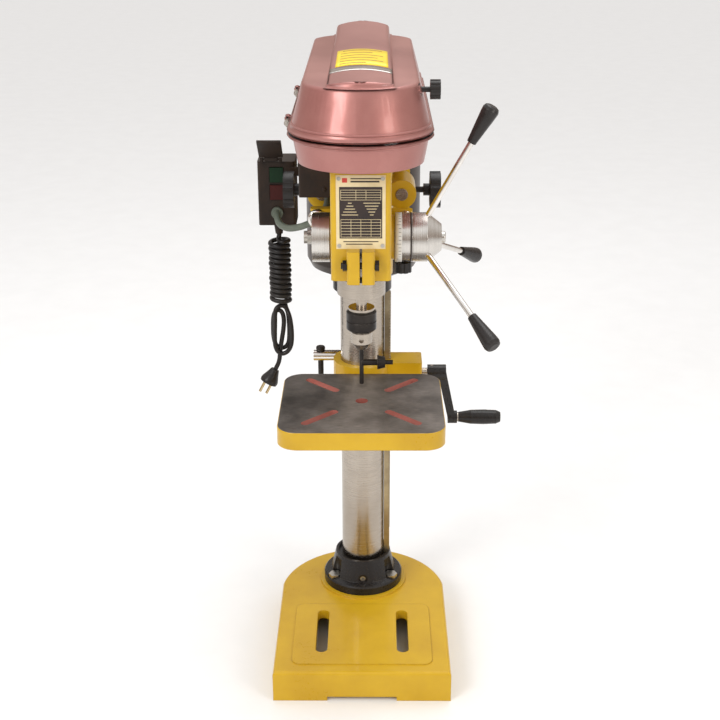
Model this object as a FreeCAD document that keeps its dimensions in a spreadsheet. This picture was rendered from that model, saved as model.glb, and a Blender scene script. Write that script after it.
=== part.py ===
# Bench drill press: round column, belt-driven head, tilting table on a rack, and a keyed chuck.
# Millimetres, +Z up, +X to the operator's right, the front faces -Y.
# The origin is on the underside of the base, on the axis of the column.
import FreeCAD, Part
import Sketcher
import os
from math import atan2, cos, pi, radians, sin, sqrt, tan

doc = FreeCAD.newDocument("DrillPress")
V = FreeCAD.Vector

# ---------------------------------------------------------------- driving dimensions
SIZES = [
    # fits
    ("running", 0.05, "radial clearance of a turning or sliding fit"),
    ("free", 0.3, "clearance between pieces that move past each other"),
    # base casting
    ("base_width", 235.5, "across the straight sides"),
    ("base_front", 240, "column axis to front edge"),
    ("base_side", 15, "column axis forward to where the rounded back begins"),
    ("base_back", 85, "column axis to the back of the round"),
    ("base_height", 44, "floor to the top face"),
    ("base_deck", 12, "thickness of the top of the casting"),
    ("base_wall", 10, "thickness of the skirt"),
    ("base_edge", 5, "radius along the top edge"),
    ("notch_width", 92, "gap under the front edge"),
    ("notch_height", 6, "height of that gap"),
    ("slot_offset", 55, "centre plane to a bolt slot"),
    ("slot_width", 16, "width of a bolt slot"),
    ("slot_near", 93, "column axis to the near end of a slot"),
    ("slot_far", 195, "column axis to the far end of a slot"),
    ("panel_half", 94, "half width of the raised panel"),
    ("panel_near", 76, "column axis to the near edge of the panel"),
    ("panel_far", 222, "column axis to the far edge of the panel"),
    ("panel_rise", 1.5, "height of the panel over the deck"),
    ("pad_radius", 63, "round pad under the column flange"),
    ("pad_rise", 3, "height of that pad over the deck"),
    # column and its flange
    ("column_radius", 30, "ground steel column"),
    ("column_wall", 4, "wall of the tube"),
    ("column_top", 692, "floor to the top of the tube"),
    ("flange_radius", 57, "foot of the column flange"),
    ("flange_thick", 11, "thickness of its foot"),
    ("flange_height", 46, "pad to the top of its collar"),
    ("collar_radius", 39.5, "radius of the collar at its top"),
    ("collar_foot", 47, "radius of the collar above its foot"),
    ("bolt_circle", 47, "radius of the three flange bolts"),
    ("flange_bolt", 5, "radius of a flange bolt"),
    # rack
    ("rack_depth", 8.6, "radial depth of the rack bar"),
    ("rack_width", 13, "width of the rack bar"),
    ("rack_bottom", 93.4, "floor to its lower shoulder"),
    ("rack_top", 496.6, "floor to its upper shoulder"),
    ("rack_plain", 36, "plain stretch below the teeth"),
    ("tenon_depth", 4.7, "radial depth of the tongue at each end"),
    ("tenon_length", 4.2, "length of that tongue"),
    ("gear_module", 1.25, "module of the rack and the lift gear"),
    ("gear_teeth", 12, "teeth of the lift gear"),
    ("gear_width", 6, "face width of the lift gear"),
    ("rack_ring_height", 23, "height of the ring over the rack"),
    # table bracket
    ("bracket_top", 395, "floor to the top of the bracket"),
    ("bracket_height", 62, "height of the bracket"),
    ("bracket_radius", 40, "outer radius of its ring"),
    ("box_reach", 82, "column axis to the end of the gear box"),
    ("box_half", 21, "half width of the gear box"),
    ("box_height", 52, "height of the gear box"),
    ("crank_level", 373, "floor to the crank axis"),
    ("worm_radius", 6, "outer radius of the worm"),
    ("crank_length", 68, "crank axis to grip axis"),
    ("crank_reach", 116, "column axis to the end of the crank hub"),
    ("grip_length", 59, "length of the crank grip"),
    ("grip_radius", 10.5, "largest radius of the crank grip"),
    ("clamp_level", 379, "floor to the axis of the bracket clamp"),
    ("clamp_depth", 49, "column axis back to the clamp screw"),
    ("clamp_reach", 70, "centre plane to the end of the clamp screw"),
    # table
    ("table_top", 388.25, "floor to the work surface"),
    ("table_width", 209, "side to side"),
    ("table_front", 235, "column axis to the front edge"),
    ("table_back", 42, "column axis to the back edge"),
    ("table_edge", 23, "height of the rim"),
    ("table_plate", 11, "thickness of the plate"),
    ("table_wall", 9, "thickness of the rim"),
    ("table_corner", 26, "corner radius"),
    ("table_hole", 8, "radius of the centre hole"),
    ("table_slot", 11, "width of a clamping slot"),
    ("slot_start", 44, "spindle axis to the near end of a table slot"),
    ("slot_end", 104, "spindle axis to the far end of a table slot"),
    ("pivot_level", 350, "floor to the tilt axis"),
    ("pivot_radius", 22, "radius of the tilt bosses"),
    # head casting
    ("reach", 135, "column axis to spindle axis"),
    ("head_half", 36.5, "half width of the head casting"),
    ("head_front", 173, "column axis to the front face"),
    ("head_bottom", 563, "floor to the underside of the head"),
    ("head_top", 704, "floor to the top of the head"),
    ("neck_bottom", 520, "floor to the underside of the column bore"),
    ("neck_radius", 41, "radius of the casting round the column"),
    ("ear_half", 17, "half width of the split lug in front"),
    ("ear_depth", 16, "how far the lug stands out"),
    ("ear_height", 41, "height of the lug"),
    ("split", 3, "width of the split"),
    ("bar_offset", 52, "centre plane to a motor slide bar"),
    ("bar_level", 632, "floor to the slide bars"),
    ("bar_radius", 8, "radius of a slide bar"),
    ("bar_boss", 19, "radius of the boss round a slide bar"),
    # quill, spindle and feed
    ("quill_radius", 25, "body of the quill"),
    ("quill_collar", 30, "radius of the collar at its foot"),
    ("quill_bottom", 536, "floor to the foot of the quill"),
    ("collar_height", 22, "height of the collar"),
    ("quill_top", 664, "floor to the top of the quill"),
    ("spindle_radius", 10, "spindle inside the quill"),
    ("nose_radius", 6.5, "spindle below the quill"),
    ("spline_radius", 8, "spindle inside the pulley"),
    ("feed_level", 598, "floor to the feed shaft"),
    ("feed_module", 1.5, "module of the quill rack and the feed pinion"),
    ("feed_teeth", 14, "teeth of the feed pinion"),
    ("feed_pitch", 22, "spindle axis to the pitch line of the quill rack"),
    ("hub_radius", 31, "feed hub and depth ring"),
    ("lever_radius", 3.8, "feed lever rods"),
    ("lever_cone", 61.5, "angle between a lever and the feed shaft"),
    ("lever_tip", 167, "feed axis to the tip of a lever"),
    ("lever_grip", 51, "length of a lever grip"),
    # chuck
    ("chuck_top", 517, "floor to the top of the chuck"),
    ("chuck_bottom", 462, "floor to the nose of the chuck"),
    ("sleeve_radius", 19, "radius of the chuck sleeve"),
    ("nose_outer", 13.5, "radius of the chuck nose"),
    ("jaw_radius", 2.4, "radius of a jaw"),
    ("jaw_lean", 10, "angle between a jaw and the spindle"),
    ("key_bar", 2.75, "radius of the cross bar of the chuck key"),
    ("key_level", 442, "floor to the shank of the chuck key"),
    # belt cover
    ("rim_half", 87, "half width of the cover at its rim"),
    ("pan_half", 82, "half width of the pan"),
    ("lid_half", 69, "half width of the lid at its top"),
    ("cover_level", 736, "floor to the joint between pan and lid"),
    ("lid_top", 799, "floor to the shoulders of the lid"),
    ("crown_front", 807, "floor to the raised band at the front"),
    ("crown_back", 818, "floor to the raised band at the back"),
    ("crown_half", 38, "half width of the raised band"),
    ("cover_back", 285, "column axis to the back of the cover"),
    ("cover_side", 225, "column axis to the end of the straight sides"),
    ("sheet", 1.5, "thickness of the cover"),
    # drive
    ("motor_offset", 200, "column axis to motor axis"),
    ("motor_radius", 84, "motor housing"),
    ("motor_bottom", 484, "floor to the lower end of the housing"),
    ("motor_top", 692, "floor to the upper end of the housing"),
    ("motor_shaft", 9.5, "radius of the motor shaft"),
    ("pulley_bottom", 716, "floor to the lowest pulley step"),
    ("pulley_step", 13, "height of a pulley step"),
    ("pulley_large", 58, "radius of the largest step"),
    ("pulley_drop", 8, "difference in radius from step to step"),
    # switch and cord
    ("switch_left", 141, "centre plane to the far side of the switch box"),
    ("switch_width", 51, "width of the switch box"),
    ("switch_front", 38, "column axis back to the front of the switch box"),
    ("switch_depth", 50, "depth of the switch box"),
    ("switch_bottom", 574, "floor to the underside of the switch box"),
    ("switch_height", 88, "height of the switch box"),
    ("cord_radius", 3.25, "radius of the power cord"),
]


class Size:
    """A number together with the sheet formula that gives it."""

    def __init__(self, value, formula):
        self.value = float(value)
        self.formula = formula

    @staticmethod
    def of(item):
        return item if isinstance(item, Size) else Size(item, repr(float(item)))

    def __add__(self, other):
        other = Size.of(other)
        return Size(self.value + other.value, f"({self.formula} + {other.formula})")

    def __sub__(self, other):
        other = Size.of(other)
        return Size(self.value - other.value, f"({self.formula} - {other.formula})")

    def __mul__(self, other):
        other = Size.of(other)
        return Size(self.value * other.value, f"{self.formula} * {other.formula}")

    def __truediv__(self, other):
        other = Size.of(other)
        return Size(self.value / other.value, f"{self.formula} / ({other.formula})")

    def __radd__(self, other):
        return Size.of(other) + self

    def __rsub__(self, other):
        return Size.of(other) - self

    def __rmul__(self, other):
        return Size.of(other) * self

    def __neg__(self):
        return Size(-self.value, f"(0 - {self.formula})")

    def __float__(self):
        return self.value


class Sheet:
    """The spreadsheet of driving dimensions, each one an attribute."""

    def __init__(self, rows):
        self.cells = doc.addObject("Spreadsheet::Sheet", "size")
        for row, (name, number, meaning) in enumerate(rows, start=1):
            self.cells.set(f"A{row}", name)
            self.cells.set(f"B{row}", str(number))
            self.cells.set(f"C{row}", meaning)
            self.cells.setAlias(f"B{row}", name)
            setattr(self, name, Size(number, f"size.{name}"))
        doc.recompute()


d = Sheet(SIZES)
contents = {}


# ---------------------------------------------------------------- how pieces are made
TURN = {
    "z": FreeCAD.Rotation(),
    "-z": FreeCAD.Rotation(V(1, 0, 0), 180),
    "x": FreeCAD.Rotation(V(0, 1, 0), 90),
    "-x": FreeCAD.Rotation(V(0, 1, 0), -90),
    "y": FreeCAD.Rotation(V(1, 0, 0), -90),
    "-y": FreeCAD.Rotation(V(1, 0, 0), 90),
}


def bind(thing, name, size):
    """Give a property its size, by formula."""
    size = Size.of(size)
    setattr(thing, name, size.value)
    thing.setExpression(name, size.formula)


def place(thing, at=(0, 0, 0), along="z"):
    """Put a piece at a point, with its own Z along a direction."""
    turn = TURN[along] if isinstance(along, str) else along
    spot = [Size.of(c) for c in at]
    thing.Placement = FreeCAD.Placement(V(*[c.value for c in spot]), turn)
    for letter, c in zip("xyz", spot):
        thing.setExpression(f".Placement.Base.{letter}", c.formula)
    return thing


def rod(radius, length, at, along="z"):
    piece = doc.addObject("Part::Cylinder", "Rod")
    bind(piece, "Radius", radius)
    bind(piece, "Height", length)
    return place(piece, at, along)


def taper(radius, end_radius, length, at, along="z"):
    piece = doc.addObject("Part::Cone", "Taper")
    bind(piece, "Radius1", radius)
    bind(piece, "Radius2", end_radius)
    bind(piece, "Height", length)
    return place(piece, at, along)


def block(low, high):
    """A box between two corners."""
    piece = doc.addObject("Part::Box", "Block")
    for name, a, b in zip(("Length", "Width", "Height"), low, high):
        bind(piece, name, Size.of(b) - a)
    return place(piece, low)


def hexagon(flats, length, at, along="z"):
    """A hexagonal bar, measured across its flats."""
    piece = doc.addObject("Part::Prism", "Hexagon")
    piece.Polygon = 6
    bind(piece, "Circumradius", Size.of(flats) / sqrt(3))
    bind(piece, "Height", length)
    return place(piece, at, along)


def joined(*pieces):
    whole = doc.addObject("Part::MultiFuse", "Joined")
    whole.Shapes = list(pieces)
    whole.Refine = False
    return whole


def cut(body, *tools):
    hollow = doc.addObject("Part::Cut", "Cut")
    hollow.Base = body
    hollow.Tool = tools[0] if len(tools) == 1 else joined(*tools)
    hollow.Refine = True
    return hollow


def tube(outer, inner, length, at, along="z"):
    return cut(rod(outer, length, at, along), rod(inner, length, at, along))


def group(*pieces):
    """Separate solids that share one node."""
    bundle = doc.addObject("Part::Compound", "Group")
    bundle.Links = list(pieces)
    return bundle


def rounded(body, radius, choose):
    """Fillet the edges that a test picks out."""
    doc.recompute()
    edges = [i for i, edge in enumerate(body.Shape.Edges, start=1) if choose(edge)]
    soft = doc.addObject("Part::Fillet", "Rounded")
    soft.Base = body
    soft.Edges = [(i, float(radius), float(radius)) for i in edges]
    return soft


def level_edge(height):
    """Picks the edges that lie flat at a height."""
    height = float(height)
    return lambda edge: all(abs(p.Point.z - height) < 1e-4 for p in edge.Vertexes)


def upright_edge(test):
    """Picks the straight vertical edges whose foot passes a test on x and y."""
    def pick(edge):
        if len(edge.Vertexes) != 2:
            return False
        a, b = (p.Point for p in edge.Vertexes)
        return abs(a.x - b.x) < 1e-6 and abs(a.y - b.y) < 1e-6 and test(a.x, a.y)
    return pick


def own_plane(body, role):
    return next(f for f in body.Origin.OriginFeatures if f.Role == role)


def hold_point(sketch, index, x, y):
    """Hold the start of a sketch line at two distances from the origin."""
    for kind, size, axis in (("DistanceX", Size.of(x), -2), ("DistanceY", Size.of(y), -1)):
        if abs(size.value) < 1e-9:
            sketch.addConstraint(Sketcher.Constraint("PointOnObject", index, 1, axis))
        else:
            row = sketch.addConstraint(Sketcher.Constraint(kind, -1, 1, index, 1, size.value))
            sketch.setExpression(f"Constraints[{row}]", size.formula)


def turned(outline, at=(0, 0, 0), along="z"):
    """A body of revolution from (radius, height) corners."""
    body = doc.addObject("PartDesign::Body", "Turned")
    sketch = body.newObject("Sketcher::SketchObject", "Outline")
    sketch.AttachmentSupport = (own_plane(body, "XZ_Plane"), [""])
    sketch.MapMode = "FlatFace"
    corners = [V(float(r), float(z), 0) for r, z in outline]
    count = len(corners)
    for i in range(count):
        sketch.addGeometry(Part.LineSegment(corners[i], corners[(i + 1) % count]))
    for i in range(count):
        sketch.addConstraint(Sketcher.Constraint("Coincident", i, 2, (i + 1) % count, 1))
    for i, (r, z) in enumerate(outline):
        hold_point(sketch, i, r, z)
    spin = body.newObject("PartDesign::Revolution", "Spin")
    spin.Profile = sketch
    spin.ReferenceAxis = (sketch, ["V_Axis"])
    spin.Angle = 360
    return place(body, at, along)


def formed(shape):
    """A piece whose shape is worked out here from the sheet's numbers."""
    piece = doc.addObject("Part::Feature", "Formed")
    piece.Shape = shape
    return piece


def prism(points, along):
    """A closed outline of straight edges, drawn out along a vector."""
    return Part.Face(Part.makePolygon(points + points[:1])).extrude(along)


def node(name, *pieces):
    """Put one or more separate solids into a named node."""
    contents.setdefault(name, []).extend(pieces)


# ---------------------------------------------------------------- base and column
def d_shape(half, front, back, low, high):
    """Straight front and sides with one large arc at the back."""
    depth = d.base_side + back
    arc = (half * half + depth * depth) / (2 * depth)
    straight = block((-half, -front, low), (half, -d.base_side, high))
    disc = rod(arc, high - low, (0, back - arc, low))
    rear = doc.addObject("Part::MultiCommon", "Back")
    rear.Shapes = [disc, block((-half, -d.base_side, low), (half, back, high))]
    return joined(straight, rear)


def long_slot(x, near, far, width, low, high):
    """A slot along Y with round ends."""
    radius = width / 2
    middle = block((x - radius, -far + radius, low), (x + radius, -near - radius, high))
    ends = [rod(radius, high - low, (x, y, low)) for y in (-far + radius, -near - radius)]
    return joined(middle, *ends)


half = d.base_width / 2
deck_under = d.base_height - d.base_deck
pad_top = d.base_height + d.pad_rise
bolt_spots = [(d.bolt_circle * sin(radians(a)), d.bolt_circle * cos(radians(a)))
              for a in (0, 120, 240)]


def make_base():
    shell = rounded(d_shape(half, d.base_front, d.base_back, Size.of(0), d.base_height),
                    d.base_edge, level_edge(d.base_height))
    inside = d_shape(half - d.base_wall, d.base_front - d.base_wall, d.base_back - d.base_wall,
                     Size.of(0), deck_under)
    panel = rounded(block((-d.panel_half, -d.panel_far, deck_under),
                          (d.panel_half, -d.panel_near, d.base_height + d.panel_rise)),
                    12, upright_edge(lambda x, y: True))
    pad = rod(d.pad_radius, pad_top - deck_under, (0, 0, deck_under))
    notch = block((-d.notch_width / 2, -d.base_front - 1, 0),
                  (d.notch_width / 2, -d.base_front + d.base_wall + 1, d.notch_height))
    slots = [long_slot(side * d.slot_offset, d.slot_near, d.slot_far, d.slot_width,
                       deck_under - 1, d.base_height + d.panel_rise + 1) for side in (-1, 1)]
    threads = [rod(d.flange_bolt + d.running, 20, (x, y, deck_under - 1)) for x, y in bolt_spots]
    solid = joined(cut(shell, inside), panel, pad)
    node("base", cut(solid, notch, *slots, *threads))


groove_depth = d.tenon_length + d.free
tongue_face = d.column_radius + d.free + d.tenon_depth
groove_outer = tongue_face + d.rack_width * d.rack_width / (8 * tongue_face) + d.free


def make_column():
    bore = d.column_radius + d.running
    flange = turned([(bore, 0), (d.flange_radius, 0), (d.flange_radius, d.flange_thick),
                     (d.flange_radius - 2, d.flange_thick + 2),
                     (d.collar_foot, d.flange_thick + 4), (d.collar_radius, d.flange_height),
                     (groove_outer, d.flange_height), (groove_outer, d.flange_height - groove_depth),
                     (bore, d.flange_height - groove_depth)], at=(0, 0, pad_top))
    screw_level = pad_top + 20
    holes = [rod(d.flange_bolt + d.running, d.flange_thick + 6, (x, y, pad_top - 1))
             for x, y in bolt_spots]
    seats = [rod(d.flange_bolt * 2.1, 30, (x, y, pad_top + d.flange_thick))
             for x, y in bolt_spots]
    screw_hole = rod(4 + d.running, d.flange_radius, (0, -d.column_radius, screw_level), "-y")
    recess = rod(7, 20, (0, -d.collar_foot + 3, screw_level), "-y")
    node("column_flange", cut(flange, screw_hole, recess, *holes, *seats))

    bolts = []
    for x, y in bolt_spots:
        head = hexagon(16, 6.5, (x, y, pad_top + d.flange_thick))
        shank = rod(d.flange_bolt, d.flange_thick + 12, (x, y, pad_top - 12))
        bolts.append(joined(head, shank))
    node("column_fasteners", *bolts)

    pin = rod(4, 13, (0, -d.column_radius, screw_level), "-y")
    socket = hexagon(4, 5, (0, -d.column_radius - 9, screw_level), "-y")
    node("column_fasteners", cut(pin, socket))
    node("column", tube(d.column_radius, d.column_radius - d.column_wall,
                        d.column_top - pad_top, (0, 0, pad_top)))


# ---------------------------------------------------------------- toothed pieces
ADDENDUM, DEDENDUM, SLACK = 0.68, 0.95, 0.12
PRESSURE = radians(20)


def rack_outline(module, first, last, through, pitch_line, root):
    """Corners of a straight rack in (distance, height), with a tooth centred on a height."""
    pitch = pi * module
    corners = []
    low = through - pitch * int((through - first) / pitch)
    steps = int((last - low) / pitch + 1e-6)
    for i in range(steps + 1):
        centre = low + i * pitch
        for side in (-1, 1):
            at_root = pitch / 4 - SLACK + DEDENDUM * module * tan(PRESSURE)
            at_tip = pitch / 4 - SLACK - ADDENDUM * module * tan(PRESSURE)
            flank = [(root, centre + side * at_root),
                     (pitch_line + ADDENDUM * module, centre + side * at_tip)]
            corners += flank if side < 0 else flank[::-1]
    return corners


def gear_outline(module, teeth, gap_at):
    """Corners of an involute gear, with a gap facing an angle."""
    pitch_radius = module * teeth / 2
    base = pitch_radius * cos(PRESSURE)
    def spread(radius):
        lean = 0 if radius <= base else tan(acos_ratio(base, radius)) - acos_ratio(base, radius)
        at_pitch = tan(PRESSURE) - PRESSURE
        return (pi * module / 4 - SLACK) / pitch_radius + at_pitch - lean
    radii = [pitch_radius - DEDENDUM * module, base,
             pitch_radius, pitch_radius + ADDENDUM * module]
    corners = []
    for i in range(teeth):
        centre = gap_at + (i + 0.5) * 2 * pi / teeth
        rising = [(r, centre - spread(r)) for r in radii]
        falling = [(r, centre + spread(r)) for r in reversed(radii)]
        corners += [(r * cos(a), r * sin(a)) for r, a in rising + falling]
    return corners


def acos_ratio(short, long):
    return atan2(sqrt(long * long - short * short), short)


module = float(d.gear_module)
lift_pitch = pi * module
lift_radius = d.gear_module * d.gear_teeth / 2
rack_inner = d.column_radius + d.free
rack_outer = rack_inner + d.rack_depth
gear_x = rack_outer - ADDENDUM * module + lift_radius
worm_distance = lift_radius + 5
gear_level = d.crank_level - worm_distance


def make_rack():
    x0, x1 = float(rack_inner), float(rack_outer)
    low, high = float(d.rack_bottom), float(d.rack_top)
    width, tongue = float(d.rack_width), float(d.tenon_length)
    root = x1 - (ADDENDUM + DEDENDUM) * module
    teeth = rack_outline(module, low + float(d.rack_plain), high - 4, float(gear_level),
                         x1 - ADDENDUM * module, root)
    shoulder = x0 + float(d.tenon_depth)
    corners = [(x0, low - tongue), (shoulder, low - tongue), (shoulder, low), (root + 1.6, low),
               (root + 1.6, teeth[0][1] - 2), (root, teeth[0][1] - 1)]
    corners += teeth + [(root, high), (shoulder, high), (shoulder, high + tongue),
                        (x0, high + tongue)]
    points = [V(x, -width / 2, z) for x, z in corners]
    node("rack", formed(prism(points, V(0, width, 0))))

    bore = d.column_radius + d.running
    low_face = d.rack_top + 0.4
    ring = turned([(groove_outer, 0), (d.collar_radius - 1.5, 0), (d.collar_radius, 1.5),
                   (d.collar_radius, d.rack_ring_height - 0.5), (bore, d.rack_ring_height - 0.5),
                   (bore, groove_depth), (groove_outer, groove_depth)], at=(0, 0, low_face))
    screw_level = low_face + 14
    hole = rod(3 + d.running, 20, (0, d.column_radius, screw_level), "y")
    node("rack_ring", cut(ring, hole))
    screw = rod(3, 9, (0, d.column_radius, screw_level), "y")
    node("column_fasteners", cut(screw, hexagon(3, 4, (0, d.column_radius + 6, screw_level), "y")))


# ---------------------------------------------------------------- table bracket and its crank
bracket_bottom = d.bracket_top - d.bracket_height
lug_half, lug_reach = 22, d.clamp_depth + 10
worm_bore = d.worm_radius + d.free + d.running


def make_bracket():
    ring = rod(d.bracket_radius, d.bracket_height, (0, 0, bracket_bottom))
    box_foot = d.bracket_top - d.box_height
    gear_box = rounded(block((15, -d.box_half, box_foot), (d.box_reach, d.box_half, d.bracket_top)),
                       3, upright_edge(lambda x, y: x > 20))
    lugs = rounded(block((-lug_half, 25, d.clamp_level - 14), (lug_half, lug_reach, d.clamp_level + 14)),
                   4, upright_edge(lambda x, y: y > 30))
    tilt_boss = rod(d.pivot_radius, d.table_back - d.free - 20, (0, -20, d.pivot_level), "-y")
    solid = joined(ring, gear_box, lugs, tilt_boss)
    column_bore = rod(d.column_radius + d.running * 2, d.bracket_height + 40,
                      (0, 0, bracket_bottom - 20))
    channel = block((20, -d.rack_width / 2 - d.free, bracket_bottom - 1),
                    (rack_outer + d.free, d.rack_width / 2 + d.free, d.bracket_top + 1))
    split = block((-d.split / 2, 20, bracket_bottom - 1), (d.split / 2, lug_reach + 1, d.bracket_top + 1))
    clamp_hole = rod(5 + d.running, lug_half * 2 + 2, (-lug_half - 1, d.clamp_depth, d.clamp_level), "x")
    shaft_hole = rod(worm_bore, 80, (32, 0, d.crank_level), "x")
    gear_room = rod(lift_radius + ADDENDUM * d.gear_module + d.free, d.gear_width + 1,
                    (gear_x, -d.gear_width / 2 - 0.5, gear_level), "y")
    pin_hole = rod(3 + d.running, d.box_half * 2 + 2, (gear_x, -d.box_half - 1, gear_level), "y")
    tilt_hole = rod(6 + d.running, 40, (0, -25, d.pivot_level), "-y")
    node("table_bracket", cut(solid, column_bore, channel, split, clamp_hole, shaft_hole,
                              gear_room, pin_hole, tilt_hole))


def make_lift_drive():
    width = float(d.gear_width)
    corners = gear_outline(module, int(float(d.gear_teeth)), pi)
    centre = V(float(gear_x), -width / 2, float(gear_level))
    wheel = prism([centre + V(x, 0, z) for x, z in corners], V(0, width, 0))
    bore = Part.makeCylinder(3 + float(d.running), width, centre, V(0, 1, 0))
    node("lift_gear", formed(wheel.cut(bore)))
    node("bracket_fasteners", rod(3, d.box_half * 2, (gear_x, -d.box_half, gear_level), "y"))

    core, outer = 3.7, float(d.worm_radius)
    turns = 3
    start = float(gear_x) - lift_pitch
    inner_end = float(rack_outer) + 0.5
    helix = Part.makeHelix(lift_pitch, turns * lift_pitch, core)
    thread = [V(core - 0.3, 0, -0.75), V(outer, 0, -0.3), V(outer, 0, 0.3), V(core - 0.3, 0, 0.75)]
    profile = Part.makePolygon(thread + thread[:1])
    ridge = Part.Wire(helix.Edges).makePipeShell([profile], True, True)
    ridge.Placement = FreeCAD.Placement(V(start, 0, float(d.crank_level)), TURN["x"])
    journal = start + turns * lift_pitch + 3
    shaft = Part.makeCylinder(core, journal - inner_end + 1,
                             V(inner_end, 0, float(d.crank_level)), V(1, 0, 0))
    wide = float(worm_bore) - float(d.running)
    bearing = Part.makeCylinder(wide, float(d.box_reach) + 8 - journal,
                                V(journal, 0, float(d.crank_level)), V(1, 0, 0))
    end = Part.makeCylinder(5, float(d.crank_reach) - float(d.box_reach) - 10,
                            V(float(d.box_reach) + 7, 0, float(d.crank_level)), V(1, 0, 0))
    node("crank_shaft", formed(shaft.fuse([ridge, bearing, end])))


def make_crank():
    hub_start = d.box_reach + 8.3
    hub = rod(11, d.crank_reach - hub_start, (hub_start, 0, d.crank_level), "x")
    foot = d.crank_level - d.crank_length
    boss = rod(9, 13, (d.crank_reach + 4, 0, foot), "x")
    x0, z0, z1 = float(d.crank_reach), float(d.crank_level), float(foot)
    arm = formed(prism([V(x0 - 13, -7, z0 + 8), V(x0 - 1, -7, z0 + 8), V(x0 + 16, -7, z1 - 5),
                        V(x0 + 5, -7, z1 - 5)], V(0, 14, 0)))
    bore = rod(5 + d.running, 40, (hub_start - 1, 0, d.crank_level), "x")
    stem_hole = rod(4 + d.running, 30, (d.crank_reach, 0, foot), "x")
    screw_hole = rod(2.5 + d.running, 12, (hub_start + 6, 0, d.crank_level + 3), "z")
    node("crank_arm", cut(joined(hub, boss, arm), bore, stem_hole, screw_hole))
    node("crank_shaft", rod(2.5, 5.5, (hub_start + 6, 0, d.crank_level + 5.2), "z"))
    grip_start = d.crank_reach + 17 + 2
    stem = joined(rod(4, d.grip_length + 7.7, (d.crank_reach + 6, 0, foot), "x"),
                  rod(6.5, 1.6, (d.crank_reach + 17.1, 0, foot), "x"))
    node("crank_shaft", stem)
    length = d.grip_length
    hole = 4 + d.running
    node("crank_grip", turned([(hole, 0), (7, 0), (d.grip_radius - 0.5, length * 0.3),
                               (d.grip_radius, length * 0.6), (d.grip_radius - 0.8, length * 0.9),
                               (d.grip_radius - 3.5, length), (0, length), (0, length - 5),
                               (hole, length - 5)], at=(grip_start, 0, foot), along="x"))


def make_bracket_clamp():
    y, z, x_end = d.clamp_depth, d.clamp_level, -lug_half - d.free
    body = rod(8, d.clamp_reach + x_end, (-d.clamp_reach, y, z), "x")
    thread = rod(5, lug_half * 2 + 8, (x_end - 1, y, z), "x")
    bar_x = -d.clamp_reach + 10
    hole = rod(4 + d.running, 30, (bar_x, y, z - 15))
    node("bracket_clamp_screw", cut(joined(body, thread), hole))
    nut = cut(hexagon(17, 8, (lug_half, y, z), "x"), rod(5 + d.running, 10, (lug_half - 1, y, z), "x"))
    node("bracket_fasteners", nut)
    cap_z = z + 8 + d.free
    bar = rod(4, 82, (bar_x, y, cap_z - 79))
    caps = [rounded(rod(6.5, 6, (bar_x, y, low)), 2, lambda edge: True)
            for low in (cap_z, cap_z - 80)]
    node("bracket_clamp_bar", joined(bar, *caps))


# ---------------------------------------------------------------- table
def make_table():
    w, low = d.table_width / 2, d.table_top - d.table_edge
    under = d.table_top - d.table_plate
    slab = rounded(block((-w, -d.table_front, low), (w, -d.table_back, d.table_top)),
                   d.table_corner, upright_edge(lambda x, y: True))
    slab = rounded(slab, 1.5, level_edge(d.table_top))
    inner = w - d.table_wall
    pocket = rounded(block((-inner, -d.table_front + d.table_wall, low - 1),
                           (inner, -d.table_back - d.table_wall, under)),
                     d.table_corner - d.table_wall, upright_edge(lambda x, y: True))
    boss = rod(d.table_hole + 8, d.table_edge - 2, (0, -d.reach, low + 1))
    arm = rod(d.pivot_radius, 32, (0, -d.table_back, d.pivot_level), "-y")
    web = block((-15, -d.table_back - 32, d.pivot_level), (15, -d.table_back, under + 1))
    rib = block((-4, -d.reach, low + 4), (4, -d.table_back - 20, under + 1))
    cross = block((-inner - 1, -d.reach - 4, low + 8), (inner + 1, -d.reach + 4, under + 1))
    solid = joined(cut(slab, pocket), boss, arm, web, rib, cross)
    hole = rod(d.table_hole, d.table_edge + 10, (0, -d.reach, low - 2))
    pivot = rod(6 + d.running * 2, 60, (0, -d.table_back + 5, d.pivot_level), "-y")
    slots = []
    for angle in (45, 135, 225, 315):
        turn = FreeCAD.Rotation(V(0, 0, 1), angle)
        r = d.table_slot / 2
        spots = [(cos(radians(angle)) * reach, -d.reach + sin(radians(angle)) * reach)
                 for reach in (d.slot_start + r, d.slot_end - r)]
        depth = d.table_edge + 2
        ends = [rod(r, depth, (x, y, low - 1)) for x, y in spots]
        bar = doc.addObject("Part::Box", "SlotBar")
        bind(bar, "Length", d.slot_end - d.slot_start - d.table_slot)
        bind(bar, "Width", d.table_slot)
        bind(bar, "Height", depth)
        x, y = spots[0]
        place(bar, (x + r * sin(radians(angle)), y - r * cos(radians(angle)), low - 1), turn)
        slots.append(joined(bar, *ends))
    node("table", cut(solid, hole, pivot, *slots))


def make_tilt_bolt():
    start = -d.table_back - 32 - d.free
    shank = rod(6, 45, (0, start - 1, d.pivot_level), "y")
    washer = rod(12, 2, (0, start - 2, d.pivot_level), "y")
    head = hexagon(19, 8, (0, start - 10, d.pivot_level), "y")
    node("bracket_fasteners", joined(shank, washer, head))


# ---------------------------------------------------------------- head casting
quill_bore = d.quill_radius + d.running
feed_radius = d.feed_module * d.feed_teeth / 2
feed_y = -d.reach + d.feed_pitch + feed_radius
journal = feed_radius + 1.7
ear_y = -d.head_front - d.ear_depth / 2
ear_level = d.head_bottom + 22
stud_y = 5
lock_x = 56.5
lock_spots = {-1: (-64, 612), 1: (-47, 605)}
pan_screw_spots = [(x, y) for x in (-30, 30) for y in (-30, -163)]
bearing_outer, sleeve_outer = 20, 12.5


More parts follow.
